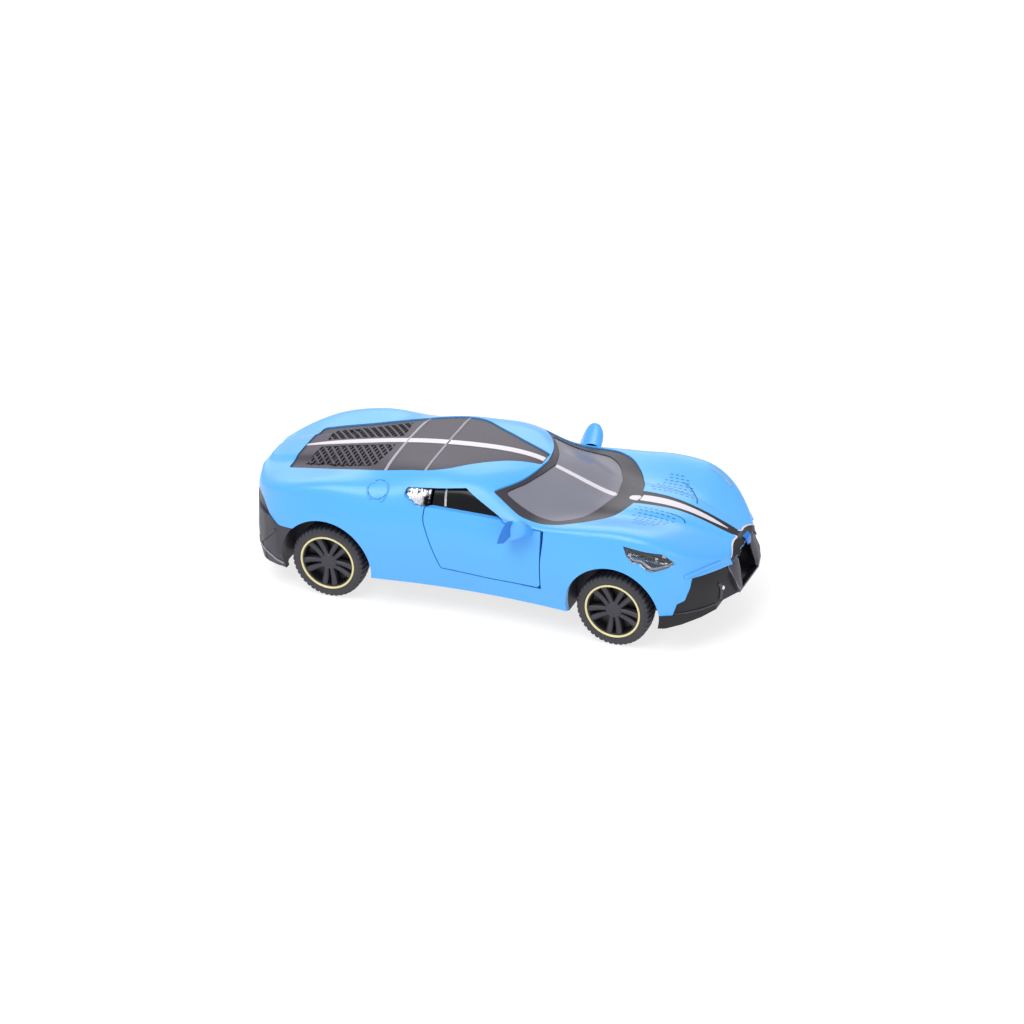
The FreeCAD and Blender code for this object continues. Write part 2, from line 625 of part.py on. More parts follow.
# ---------------------------------------------------------------- doors (right side)
def door():
    place = grown_side(DOOR_OUTLINE, -GAP / 2, -32, -16)
    shelf = box((8.0, 23.0), (-20.9, -10.0), (27.0, 31.0))
    panel = layer(0, DOOR_WALL).common(place.cut(shelf))
    knuckles = []
    for low, high in ((PIN_Z[0], LUG_Z[0] - 0.3), (LUG_Z[1] + 0.3, PIN_Z[1])):
        barrel = rod(KNUCKLE_R, V(HINGE_X, -HINGE_Y, low), V(HINGE_X, -HINGE_Y, high))
        rib = box((HINGE_X - 3.5, HINGE_X), (-HINGE_Y - 0.4, -HINGE_Y + 0.6), (low, high))
        knuckles.append(barrel.fuse(rib).common(skin(0.3)))
    bore_r = PIN_R + PIN_FIT
    bore = rod(bore_r, V(HINGE_X, -HINGE_Y, PIN_Z[0] - 1), V(HINGE_X, -HINGE_Y, PIN_Z[1] + 1))
    pocket_z = (LUG_Z[0] - 0.3, LUG_Z[1] + 0.3)
    pocket = rod(LUG_R + 0.25, V(HINGE_X, -HINGE_Y, pocket_z[0]), V(HINGE_X, -HINGE_Y, pocket_z[1]))
    return largest(join([panel] + knuckles).cut(bore).cut(pocket))


def hinge_pin():
    return rod(PIN_R, V(HINGE_X, -HINGE_Y, PIN_Z[0]), V(HINGE_X, -HINGE_Y, PIN_Z[1]))


def door_glass():
    return layer(DOOR_WALL + 0.02, DOOR_WALL + 0.7).common(side(GLASS_OUTLINE, -32, -15.5))


def door_card():
    """The trim on the inside of the door, with a pull."""
    card = side([(-7.0, 15.6, 1.5), (-9.2, 21.0), (-10.6, 26.8, 1), (13.2, 26.8, 1),
                 (13.2, 15.6, 1.5)], -32, -15.5)
    panel = layer(DOOR_WALL + 0.02, DOOR_WALL + 0.9).common(card)
    pull = side([(-4.0, 21.4, 0.4), (6.0, 22.0, 0.4), (6.0, 23.4, 0.4), (-4.0, 22.8, 0.4)],
                -32, -15.5)
    return join([panel, layer(DOOR_WALL + 0.5, DOOR_WALL + 1.7).common(pull)])


def door_mirror():
    """A wedge standing out of the door on a tapered foot."""
    root = [(11.5, 25.6), (18.6, 27.9), (17.6, 30.2), (15.5, 30.6), (13.2, 29.4)]
    middle = [(10.0, 25.9), (17.8, 28.7), (18.2, 32.7), (16.4, 34.1), (12.8, 32.6)]
    tip = [(10.5, 26.7), (14.6, 28.8), (16.6, 32.2), (15.2, 34.0), (13.0, 32.8)]
    sections = []
    for y, points in ((-23.6, root), (-27.0, middle), (-29.2, tip)):
        sections.append([V(x, y, z) for x, z in points])
    return ruled(sections).cut(skin(0))


# ---------------------------------------------------------------- cabin
def interior_tub():
    floor = box((-9.0, 22.0), (-19.2, 19.2), (FLOOR_TOP, 9.8))
    back = box((-9.0, -7.8), (-19.2, 19.2), (9.0, 24.0))
    wall = box((-9.0, 22.0), (-19.2, -18.2), (9.0, 14.0))
    tunnel = plan([(-8.5, -2.2, 1), (21.0, -2.2, 1), (21.0, 2.2, 1), (-8.5, 2.2, 1)], 9.0, 14.5)
    return join([floor, back, wall, mirrored(wall), tunnel])


def seat():
    """The right bucket seat: a cushion, a raked back and a headrest in one moulding."""
    cushion = side([(-5.6, 9.9), (7.0, 9.9, 1), (7.4, 14.6, 1.8), (-3.0, 13.4, 1)], -13.4, -3.6)
    back = side([(-5.6, 9.9, 0.5), (-3.0, 13.2), (-1.4, 13.6, 0.5), (-4.9, 27.6, 1.2),
                 (-7.5, 27.2, 1.2), (-7.5, 20.0, 4)], -13.0, -4.0)
    wing = side([(-6.0, 12.0), (3.0, 12.0, 1), (2.0, 16.2, 1.5), (-1.6, 18.0, 3), (-4.0, 25.0, 1.5),
                 (-7.0, 25.0)], -13.9, -12.9)
    other = wing.copy()
    other.translate(V(0, 9.8, 0))
    return join([cushion, back, wing, other])


def dashboard():
    profile = [(15.0, 19.0, 1), (23.4, 19.0), (26.0, 26.4, 0.8), (19.0, 27.4, 2), (15.0, 24.6, 1.2)]
    binnacle = side([(15.2, 24.0), (20.0, 26.0), (18.6, 28.2, 0.8), (15.6, 27.0, 0.8)], 5.2, 11.4)
    column = rod(0.9, V(13.4, 8.3, 22.0), V(16.5, 8.3, 21.2))
    return join([side(profile, -17.6, 17.6), binnacle, column])


def steering_wheel():
    centre = V(12.6, 8.3, 22.2)
    axis = V(-0.97, 0, 0.25).normalize()
    rim = Part.makeTorus(3.6, 0.45, centre, axis)
    hub = rod(1.1, centre - axis * 0.5, centre + axis * 0.5)
    level = ACROSS
    drop = axis.cross(ACROSS)
    spokes = [rod(0.35, centre, centre + direction * 3.5) for direction in (level, -level, drop)]
    return join([hub, rim] + spokes).cut(rod(0.92, V(13.0, 8.3, 22.1), V(16.5, 8.3, 21.2)))


# ---------------------------------------------------------------- chassis
def wheel_well(x):
    """A left inner arch: a curved skin over the wheel and a wall that carries the axle."""
    centre = V(x, WELL_Y, ARCH_Z)
    outer = rod(WELL_R + WELL_WALL, centre - ACROSS * WELL_WALL, V(x, 26, ARCH_Z))
    hollow = rod(WELL_R, centre, V(x, 26, ARCH_Z))
    well = outer.cut(hollow).common(skin(BUMPER_WALL + 0.05))
    return well.cut(box((x - 20, x + 20), (0, 32), (0, FLOOR_Z)))


def chassis_base():
    half = [(-57.0, 0), (-57.0, 15.9, 2), (-54.3, 15.9), (-25.7, 15.9), (-25.7, 21.4, 1),
            (-14.0, 21.8, 20), (14.0, 21.8, 20), (25.7, 22.6, 1), (25.7, 15.9), (54.3, 15.9),
            (60.0, 13.0, 2), (62.0, 0)]
    plate = plan(both_halves(half), FLOOR_Z, FLOOR_TOP)
    parts = [plate]
    for x in (REAR_X, FRONT_X):
        well = wheel_well(x)
        parts += [well, mirrored(well)]
    for x in (-8.0, 8.0, 24.0):
        parts.append(box((x - 0.5, x + 0.5), (-17, 17), (FLOOR_Z - 0.6, FLOOR_Z)))
    base = join(parts)
    motor = box((MOTOR_X[0] - 0.2, MOTOR_X[1] + 0.2), (-MOTOR_HALF - 0.2, MOTOR_HALF + 0.2), (0, 12))
    base = base.cut(motor)
    for y in (-1, 1):
        for x, radius in ((REAR_X, AXLE_R + 0.4), (FRONT_X, AXLE_R + AXLE_FIT)):
            base = base.cut(rod(radius, V(x, 10 * y, AXLE_Z), V(x, 20 * y, AXLE_Z)))
    for x, y in screw_places():
        base = base.cut(rod(SCREW_R, V(x, y, 0), V(x, y, 12)))
        base = base.cut(rod(2.0, V(x, y, 0), V(x, y, FLOOR_Z + 0.7)))
    return base


def screw_places():
    return [(x, 0.0) for x in POSTS_X] + [(MOTOR_X[0] - 2.2, 0.0), (MOTOR_X[1] + 2.2, 0.0)]


def chassis_screws():
    screws = []
    for x, y in screw_places():
        head = rod(1.9, V(x, y, FLOOR_Z - 0.5), V(x, y, FLOOR_Z + 0.7))
        shank = rod(SCREW_R, V(x, y, FLOOR_Z + 0.5), V(x, y, FLOOR_Z + 6.0))
        slot = box((x - 0.25, x + 0.25), (y - 1.3, y + 1.3), (FLOOR_Z - 1, FLOOR_Z - 0.1))
        cross = box((x - 1.3, x + 1.3), (y - 0.25, y + 0.25), (FLOOR_Z - 1, FLOOR_Z - 0.1))
        screws.append(join([head, shank]).cut(slot).cut(cross))
    return Part.makeCompound(screws)


# ---------------------------------------------------------------- wheels
def axle(x):
    half = WHEEL_FACE_Y - 1.6
    return rod(AXLE_R, V(x, -half, AXLE_Z), V(x, half, AXLE_Z))


def rim():
    """A left wheel about the origin, its face towards +Y: barrel, ring and five double spokes."""
    face = WHEEL_FACE_Y
    barrel = ring(RIM_R - 0.6, RIM_R - 1.4, V(0, face - TYRE_WIDTH, 0), V(0, face - 0.6, 0))
    lip = ring(RIM_R, RIM_R - 0.75, V(0, face - 0.8, 0), V(0, face, 0))
    disc = ring(RIM_R - 1.0, AXLE_R, V(0, face - 4.2, 0), V(0, face - 3.4, 0))
    hub = ring(2.2, AXLE_R, V(0, face - TYRE_WIDTH + 0.4, 0), V(0, face - 1.6, 0))
    cap = rod(1.9, V(0, face - 1.6, 0), V(0, face - 0.5, 0))
    spokes = []
    for i in range(5):
        for lean in (-1, 1):
            foot = V(0.55 * lean, 0, 1.0)
            head = V(1.25 * lean, 0, RIM_R - 0.5)
            low = [V(foot.x - 0.5, face - 3.6, foot.z), V(foot.x + 0.5, face - 3.6, foot.z),
                   V(foot.x + 0.4, face - 0.6, foot.z), V(foot.x - 0.4, face - 0.6, foot.z)]
            high = [V(head.x - 0.45, face - 3.6, head.z), V(head.x + 0.45, face - 3.6, head.z),
                    V(head.x + 0.35, face - 0.35, head.z), V(head.x - 0.35, face - 0.35, head.z)]
            spoke = ruled([low, high])
            spoke.rotate(V(0, 0, 0), ACROSS, 72 * i)
            spokes.append(spoke)
    spokes = [join(spokes).common(rod(RIM_R - 0.65, V(0, 0, 0), V(0, face, 0)))]
    return join([barrel, lip, disc, hub, cap] + spokes)


def tyre():
    """A left tyre about the origin, with a rounded shoulder and a groove round the tread."""
    face = WHEEL_FACE_Y
    inner = face - TYRE_WIDTH
    profile = [(RIM_R - 0.6, inner), (RIM_R - 0.6, face - 0.8), (RIM_R, face - 0.8),
               (RIM_R, face - 0.1, 0.3), (TYRE_R - 0.9, face, 0.6), (TYRE_R, face - 1.0, 0.9),
               (TYRE_R, inner + 0.9, 0.8), (TYRE_R - 0.8, inner, 0.5)]
    wire = outline(profile, lambda radius, y: V(radius, y, 0))
    body = Part.Face(wire).revolve(V(0, 0, 0), ACROSS, 360)
    for y in (face - 2.8, face - 5.4):
        body = body.cut(ring(TYRE_R + 1, TYRE_R - 0.35, V(0, y - 0.25, 0), V(0, y + 0.25, 0)))
    return body


def wheel_at(shape, x):
    placed = shape.copy()
    placed.translate(V(x, 0, AXLE_Z))
    return placed


# ---------------------------------------------------------------- pull-back motor
AXLE_CENTRE = V(REAR_X, 0, AXLE_Z)


def gear_centre(start, first, second, angle):
    distance = GEAR_MODULE * (first + second) / 2
    return start + V(math.cos(angle), 0, math.sin(angle)) * distance


IDLER_CENTRE = gear_centre(AXLE_CENTRE, AXLE_TEETH, IDLER_TEETH, AXLE_TO_IDLER)
BARREL_CENTRE = gear_centre(IDLER_CENTRE, PINION_TEETH, BARREL_TEETH, IDLER_TO_BARREL)


def gear(teeth, centre, tooth_angle, low, high):
    """A spur gear with involute flanks and a tooth pointing along tooth_angle."""
    pitch_r = GEAR_MODULE * teeth / 2
    base_r = pitch_r * math.cos(PRESSURE_ANGLE)
    root_r = pitch_r - GEAR_DEDENDUM
    tip_r = pitch_r + GEAR_ADDENDUM
    pitch_half = math.pi / (2 * teeth) - GEAR_BACKLASH / (2 * pitch_r)
    spread = math.tan(PRESSURE_ANGLE) - PRESSURE_ANGLE

    def half_angle(radius):
        pressure = math.acos(min(1.0, base_r / radius))
        return pitch_half + spread - (math.tan(pressure) - pressure)

    start_r = max(base_r, root_r)
    flank = [(root_r, half_angle(start_r))] if root_r < base_r else []
    for i in range(5):
        radius = start_r + (tip_r - start_r) * i / 4
        flank.append((radius, half_angle(radius)))
    points = []
    for tooth in range(teeth):
        middle = tooth_angle + 2 * math.pi * tooth / teeth
        polar = [(r, middle - a) for r, a in flank] + [(r, middle + a) for r, a in reversed(flank)]
        points += [centre + V(r * math.cos(a), low, r * math.sin(a)) for r, a in polar]
    return Part.Face(Part.makePolygon(points + [points[0]])).extrude(ACROSS * (high - low))


def axle_gear():
    body = gear(AXLE_TEETH, AXLE_CENTRE, AXLE_TO_IDLER, -3.0, -0.6)
    hub = rod(2.0, AXLE_CENTRE + ACROSS * -5.0, AXLE_CENTRE + ACROSS * -3.0)
    return join([body, hub]).cut(rod(AXLE_R, AXLE_CENTRE - ACROSS * 6, AXLE_CENTRE + ACROSS * 1))


def idler_gear():
    wheel = gear(IDLER_TEETH, IDLER_CENTRE, AXLE_TO_IDLER + math.pi + math.pi / IDLER_TEETH, -2.9, -0.7)
    pinion = gear(PINION_TEETH, IDLER_CENTRE, IDLER_TO_BARREL, -0.7, 2.6)
    bore = rod(SHAFT_R + AXLE_FIT, IDLER_CENTRE - ACROSS * 5, IDLER_CENTRE + ACROSS * 5)
    return join([wheel, pinion]).cut(bore)


def spring_barrel():
    """A toothed drum that holds the spring."""
    angle = IDLER_TO_BARREL + math.pi + math.pi / BARREL_TEETH
    wheel = gear(BARREL_TEETH, BARREL_CENTRE, angle, 0.2, 2.4)
    drum = ring(6.0, 5.4, BARREL_CENTRE + ACROSS * 2.4, BARREL_CENTRE + ACROSS * 6.4)
    bore = rod(SHAFT_R + AXLE_FIT, BARREL_CENTRE - ACROSS * 2, BARREL_CENTRE + ACROSS * 7)
    return join([wheel, drum]).cut(bore)


def mainspring():
    """A flat steel strip wound in the drum, its outer end on the drum wall."""
    turns = 5.0
    thickness = 0.22
    start_r = 1.7
    end_r = 5.4 - thickness

    def spiral(extra, reverse):
        points = []
        for i in range(91):
            t = i / 90
            angle = 2 * math.pi * turns * t
            radius = start_r + (end_r - start_r) * t + extra
            points.append(BARREL_CENTRE + V(radius * math.cos(angle), 2.5, radius * math.sin(angle)))
        curve = Part.BSplineCurve()
        curve.interpolate(points[::-1] if reverse else points)
        return curve

    inner = spiral(0.0, False)
    outer = spiral(thickness, True)
    edges = [inner.toShape(), Part.makeLine(inner.EndPoint, outer.StartPoint), outer.toShape(),
             Part.makeLine(outer.EndPoint, inner.StartPoint)]
    return Part.Face(Part.Wire(edges)).extrude(ACROSS * 3.6)


def gear_shafts():
    shafts = []
    for centre in (IDLER_CENTRE, BARREL_CENTRE):
        shafts.append(rod(SHAFT_R, centre - ACROSS * MOTOR_HALF, centre + ACROSS * MOTOR_HALF))
    return Part.makeCompound(shafts)


def motor_housing(inner, outer):
    """One half of the motor's box, from the split at y = inner to the outside at y = outer."""
    low, high = sorted((inner, outer))
    shell = box(MOTOR_X, (low, high), MOTOR_Z)
    rounded = [e for e in shell.Edges if abs(e.tangentAt(e.FirstParameter).y) > 0.9]
    shell = shell.makeFillet(3.0, rounded)
    wall = MOTOR_WALL if outer > 0 else -MOTOR_WALL
    cavity_y = sorted((inner - wall, outer - wall))
    cavity = box((MOTOR_X[0] + MOTOR_WALL, MOTOR_X[1] - MOTOR_WALL), cavity_y,
                 (MOTOR_Z[0] + MOTOR_WALL, MOTOR_Z[1] - MOTOR_WALL))
    shell = shell.cut(cavity)
    flanges = []
    for x in (MOTOR_X[0] - 3.6, MOTOR_X[1] - 0.4):
        flange = box((x, x + 4.0), (low, high), (FLOOR_TOP, FLOOR_TOP + 1.4))
        flanges.append(flange.common(box((-100, 100), (-4, 4), (0, 20))))
    shell = join([shell] + flanges).cut(cavity)
    for centre, radius in ((AXLE_CENTRE, AXLE_R + AXLE_FIT), (IDLER_CENTRE, SHAFT_R),
                           (BARREL_CENTRE, SHAFT_R)):
        shell = shell.cut(rod(radius, centre - ACROSS * 12, centre + ACROSS * 12))
    for x, y in screw_places():
        shell = shell.cut(rod(SCREW_R, V(x, y, 0), V(x, y, 20)))
    return shell


# ---------------------------------------------------------------- writing the pieces
def save(name, shape):
    placed = shape.copy()
    placed.translate(ALONG * BOX_SHIFT)
    placed.exportStep("parts/" + name + ".step")
    size = placed.BoundBox
    print(f"{name:28s} solids {len(placed.Solids)} valid {placed.isValid()} "
          f"volume {placed.Volume:9.2f} x {size.XMin:7.2f} {size.XMax:7.2f} "
          f"y {size.YMin:7.2f} {size.YMax:7.2f} z {size.ZMin:6.2f} {size.ZMax:6.2f}")


def save_pair(name, right):
    save("right_" + name, right)
    save("left_" + name, mirrored(right))


def main():
    os.makedirs("parts", exist_ok=True)
    save("body_shell", body_shell())
    save("roof_front_panel", roof_panel(SEAM_A + SEAM / 2, 13))
    save("roof_middle_panel", roof_panel(SEAM_B + SEAM / 2, SEAM_A - SEAM / 2))
    save("engine_cover", engine_cover())
    save("left_engine_grille", engine_grille())
    save("right_engine_grille", mirrored(engine_grille()))
    save("windscreen_frame", windscreen_frame())
    save("windscreen", windscreen())
    save("hood_stripe", hood_stripe())
    save("front_bumper", front_bumper())
    save("front_grille", front_grille())
    save("rear_bumper", rear_bumper())
    save("tail_light_lens", tail_light_lens())
    save("exhaust_tips", exhaust_tips())
    save_pair("headlight_reflector", headlight_reflector())
    save_pair("headlight_lens", headlight_lens())
    save_pair("quarter_trim", quarter_trim())
    save_pair("door", door())
    save_pair("door_glass", door_glass())
    save_pair("door_card", door_card())
    save_pair("mirror", door_mirror())
    save_pair("hinge_pin", hinge_pin())
    save("interior_tub", interior_tub())
    save_pair("seat", seat())
    save("dashboard", dashboard())
    save("steering_wheel", steering_wheel())
    save("chassis_base", chassis_base())
    save("chassis_screws", chassis_screws())
    left_rim = rim()
    left_tyre = tyre()
    for end, x in (("front", FRONT_X), ("rear", REAR_X)):
        save(end + "_axle", axle(x))
        save(end + "_left_rim", wheel_at(left_rim, x))
        save(end + "_right_rim", wheel_at(mirrored(left_rim), x))
        save(end + "_left_tyre", wheel_at(left_tyre, x))
        save(end + "_right_tyre", wheel_at(mirrored(left_tyre), x))
    save("motor_housing_left", motor_housing(0.0, MOTOR_HALF))
    save("motor_housing_right", motor_housing(0.0, -MOTOR_HALF))
    save("axle_gear", axle_gear())
    save("idler_gear", idler_gear())
    save("spring_barrel", spring_barrel())
    save("mainspring", mainspring())
    save("gear_shafts", gear_shafts())


main()
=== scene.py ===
import json
import math

import bpy
from mathutils import Matrix, Vector
from mathutils.bvhtree import BVHTree


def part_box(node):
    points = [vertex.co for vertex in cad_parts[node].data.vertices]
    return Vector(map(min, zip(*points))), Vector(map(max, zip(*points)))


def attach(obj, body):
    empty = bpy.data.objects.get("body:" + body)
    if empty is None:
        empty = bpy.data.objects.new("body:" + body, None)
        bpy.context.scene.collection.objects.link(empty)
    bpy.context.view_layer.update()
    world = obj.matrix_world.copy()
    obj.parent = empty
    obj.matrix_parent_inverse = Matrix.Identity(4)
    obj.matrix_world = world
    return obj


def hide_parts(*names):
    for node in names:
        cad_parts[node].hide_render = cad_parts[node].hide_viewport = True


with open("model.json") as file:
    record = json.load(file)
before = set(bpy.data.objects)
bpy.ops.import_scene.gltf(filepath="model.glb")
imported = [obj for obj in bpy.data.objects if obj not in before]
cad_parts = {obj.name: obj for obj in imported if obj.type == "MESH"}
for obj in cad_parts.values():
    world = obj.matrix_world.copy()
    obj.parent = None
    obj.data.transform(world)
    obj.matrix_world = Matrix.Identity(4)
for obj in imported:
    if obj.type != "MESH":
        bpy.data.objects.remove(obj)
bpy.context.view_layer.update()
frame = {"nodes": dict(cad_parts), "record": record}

# The looks of a pull-back toy car. The frame is in metres; the sizes below are in millimetres and
# go through MM. +X is the nose, +Y the car's left side, +Z up.
MM = 0.001
NODES = frame["nodes"]


# ---------------------------------------------------------------- frame
def box_mm(node):
    """Lowest and highest corner of a CAD node, in millimetres."""
    low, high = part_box(node)
    return low / MM, high / MM


FRONT_X = sum(c.x for c in box_mm("front_axle")) / 2
REAR_X = sum(c.x for c in box_mm("rear_axle")) / 2
AXLE_Z = sum(c.z for c in box_mm("front_axle")) / 2
MIDDLE_X = (FRONT_X + REAR_X) / 2


def surface_of(*names):
    """A tree that finds points on the outer faces of some CAD nodes, in metres."""
    points = []
    faces = []
    for name in names:
        mesh = NODES[name].data
        first = len(points)
        points.extend(v.co.copy() for v in mesh.vertices)
        faces.extend([first + i for i in p.vertices] for p in mesh.polygons)
    return BVHTree.FromPolygons(points, faces)


# ---------------------------------------------------------------- materials
def node(tree, kind, **settings):
    """Adds a node to a tree and sets its properties."""
    made = tree.nodes.new(kind)
    for key, value in settings.items():
        setattr(made, key, value)
    return made


def linear(colour):
    """An 8-bit display colour as linear light."""
    return [((c / 255 + 0.055) / 1.055) ** 2.4 if c > 10 else c / 255 / 12.92 for c in colour]


def surface(name, colour, rough, variation=0.06, grain=900.0, bump=0.02, low=None, **sockets):
    """A moulded or painted material: a colour that drifts a little, and a fine grain in its bump.

    A low colour, where one is given, is the other end of the drift.
    """
    material = bpy.data.materials.new(name)
    material.use_nodes = True
    tree = material.node_tree
    shader = tree.nodes["Principled BSDF"]
    shader.inputs["Roughness"].default_value = rough
    for socket, value in sockets.items():
        shader.inputs[socket.replace("_", " ")].default_value = value
    place = node(tree, "ShaderNodeTexCoord")
    drift = node(tree, "ShaderNodeTexNoise")
    drift.inputs["Scale"].default_value = grain / 12
    drift.inputs["Detail"].default_value = 3.0
    ramp = node(tree, "ShaderNodeValToRGB")
    base = linear(colour)
    ramp.color_ramp.elements[0].position = 0.3 if low is None else 0.44
    start = [c * (1 - variation) for c in base] if low is None else linear(low)
    ramp.color_ramp.elements[0].color = start + [1]
    ramp.color_ramp.elements[1].position = 0.7 if low is None else 0.56
    ramp.color_ramp.elements[1].color = [min(1.0, c * (1 + variation)) for c in base] + [1]
    fine = node(tree, "ShaderNodeTexNoise")
    fine.inputs["Scale"].default_value = grain
    fine.inputs["Detail"].default_value = 4.0
    relief = node(tree, "ShaderNodeBump")
    relief.inputs["Strength"].default_value = bump
    relief.inputs["Distance"].default_value = 0.05 * MM
    link = tree.links.new
    link(place.outputs["Object"], drift.inputs["Vector"])
    link(place.outputs["Object"], fine.inputs["Vector"])
    link(drift.outputs["Fac"], ramp.inputs["Fac"])
    link(ramp.outputs["Color"], shader.inputs["Base Color"])
    link(fine.outputs["Fac"], relief.inputs["Height"])
    link(relief.outputs["Normal"], shader.inputs["Normal"])
    return material


MATERIALS = {
    "body_paint": surface("body_paint", (80, 171, 244), 0.36, 0.015, 700, 0.03, Coat_Weight=0.3,
                          Coat_Roughness=0.2),
    "black_plastic": surface("black_plastic", (52, 50, 60), 0.45, 0.08, 1200, 0.2),
    "bumper_black": surface("bumper_black", (26, 25, 31), 0.42, 0.1, 1200, 0.15,
                            Specular_IOR_Level=0.35),
    "gloss_black": surface("gloss_black", (26, 25, 30), 0.36, 0.08, 900, 0.05,
                           Specular_IOR_Level=0.4),
    "dark_panel": surface("dark_panel", (66, 61, 72), 0.42, 0.04, 900, 0.06,
                          Specular_IOR_Level=0.4),
    "frame_panel": surface("frame_panel", (50, 46, 54), 0.4, 0.05, 900, 0.06),
    "clear_plastic": surface("clear_plastic", (225, 228, 232), 0.08, 0.02, 500, 0.02,
                             Transmission_Weight=0.97, IOR=1.25),
    "hazy_plastic": surface("hazy_plastic", (150, 150, 164), 0.3, 0.12, 120, 0.02,
                            Transmission_Weight=0.35, IOR=1.3),
    "tinted_plastic": surface("tinted_plastic", (7, 9, 14), 0.15, 0.1, 500, 0.02,
                              Specular_IOR_Level=0.3),
    "bright_plating": surface("bright_plating", (228, 229, 234), 0.12, 0.04, 600, 0.3, Metallic=1.0),
    # The next colour drifts in blotches between near-white and near-black: painted reflections of crumpled
    # chrome, with the crumple itself in the bump.
    "foil_painted_reflections": surface("foil_painted_reflections", (236, 236, 242), 0.16, 0.02, 3600, 1.0, (26, 24, 32), Metallic=0.8),
    "tyre_rubber": surface("tyre_rubber", (54, 52, 58), 0.6, 0.1, 1500, 0.4),
    "axle_steel": surface("axle_steel", (176, 176, 180), 0.25, 0.06, 1200, 0.1, Metallic=1.0),
    "spring_steel": surface("spring_steel", (92, 104, 128), 0.25, 0.1, 1200, 0.05, Metallic=1.0),
    "gear_plastic": surface("gear_plastic", (226, 222, 210), 0.4, 0.04, 900, 0.05),
    "motor_plastic": surface("motor_plastic", (96, 98, 102), 0.45, 0.06, 900, 0.1),
    "interior_plastic": surface("interior_plastic", (36, 36, 40), 0.55, 0.12, 1400, 0.3),
    "red_lens": surface("red_lens", (170, 18, 20), 0.12, 0.1, 600, 0.05, Transmission_Weight=0.3),
    "stripe_silver": surface("stripe_silver", (214, 208, 216), 0.35, 0.02, 700, 0.05),
    "seam_silver": surface("seam_silver", (176, 172, 182), 0.35, 0.02, 700, 0.05),
    "pale_gold": surface("pale_gold", (226, 216, 160), 0.32, 0.04, 700, 0.05),
    "edge_grey": surface("edge_grey", (138, 136, 152), 0.35, 0.05, 900, 0.05),
    "lamp_white": surface("lamp_white", (238, 238, 244), 0.2, 0.02, 600, 0.05),
    # The next colour is a darker copy of the body blue: painted shade for the bonnet's slots.
    "slot_shade_blue": surface("slot_shade_blue", (30, 112, 190), 0.5, 0.05, 700, 0.05),
    # The next colour is a darker blue line: painted shadow under the small lip in front of each bonnet
    # slot field.
    "lip_shadow_blue": surface("lip_shadow_blue", (20, 96, 150), 0.5, 0.05, 700, 0.05),
    # The next colour is a darker copy of the body blue: painted shade on the right mirror's outer face,
    # and also the colour of the nose flap.
    "deep_blue": surface("deep_blue", (12, 112, 204), 0.3, 0.04, 700, 0.05),
    "vent_dark": surface("vent_dark", (20, 18, 22), 0.6, 0.1, 1200, 0.3, Specular_IOR_Level=0.2),
    "bowl_black": surface("bowl_black", (24, 23, 28), 0.36, 0.08, 900, 0.08,
                          Specular_IOR_Level=0.5),
}
SLOT_OF = {part["node"]: part["material_slot"] for part in frame["record"]["subparts"]}
LOOKS = {
    "windscreen": "hazy_plastic",
    "left_headlight_reflector": "gloss_black",
    "right_headlight_reflector": "gloss_black",
    "left_quarter_trim": "foil_painted_reflections",
    "right_quarter_trim": "foil_painted_reflections",
    "windscreen_frame": "frame_panel",
    "front_bumper": "bumper_black",
}


def smooth_edges(name, angle):
    """A geometry group that shades smooth, apart from edges sharper than angle."""
    group = bpy.data.node_groups.new(name, "GeometryNodeTree")
    group.interface.new_socket("Geometry", in_out="INPUT", socket_type="NodeSocketGeometry")
    group.interface.new_socket("Geometry", in_out="OUTPUT", socket_type="NodeSocketGeometry")
    start = node(group, "NodeGroupInput")
    end = node(group, "NodeGroupOutput")
    edge = node(group, "GeometryNodeInputMeshEdgeAngle")
    gentle = node(group, "FunctionNodeCompare", data_type="FLOAT", operation="LESS_EQUAL")
    gentle.inputs["B"].default_value = math.radians(angle)
    faces = node(group, "GeometryNodeSetShadeSmooth", domain="FACE")
    edges = node(group, "GeometryNodeSetShadeSmooth", domain="EDGE")
    link = group.links.new
    link(start.outputs[0], faces.inputs["Geometry"])
    link(faces.outputs[0], edges.inputs["Geometry"])
    link(edge.outputs["Unsigned Angle"], gentle.inputs["A"])
    link(gentle.outputs["Result"], edges.inputs["Shade Smooth"])
    link(edges.outputs[0], end.inputs[0])
    return group


SMOOTH = smooth_edges("smooth_edges", 32)


def finish_edges(obj, bevel=0.0, weld=True):
    """Rounds and smooths a piece's edges without touching its own mesh."""
    if weld:
        merge = obj.modifiers.new("weld", "WELD")
        merge.merge_threshold = 0.002 * MM
    if bevel:
        edge = obj.modifiers.new("edge", "BEVEL")
        edge.width = bevel * MM
        edge.segments = 2
        edge.limit_method = "ANGLE"
        edge.angle_limit = math.radians(35)
    shade = obj.modifiers.new("shade", "NODES")
    shade.node_group = SMOOTH


def dress_cad_nodes():
    """Gives every CAD node its material and soft shading."""
    for name, obj in NODES.items():
        obj.data.materials.clear()
        obj.data.materials.append(MATERIALS[LOOKS.get(name, SLOT_OF[name])])
        finish_edges(obj)


# ---------------------------------------------------------------- tools for detail pieces
def at(x, y, z):
    """A point given in millimetres, X counted from the middle of the wheelbase."""
    return Vector((MIDDLE_X + x, y, z)) * MM


def piece(name, mesh, material, body="car"):
    """Adds a mesh as one named piece of a body."""
    obj = bpy.data.objects.new(name, mesh)
    bpy.context.scene.collection.objects.link(obj)
    obj.data.materials.append(MATERIALS[material])
    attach(obj, body)
    return obj


def mesh_from(name, points, faces):
    """A checked mesh from points in metres and faces."""
    mesh = bpy.data.meshes.new(name)
    mesh.from_pydata(points, [], faces)
    mesh.validate()
    mesh.update()
    return mesh


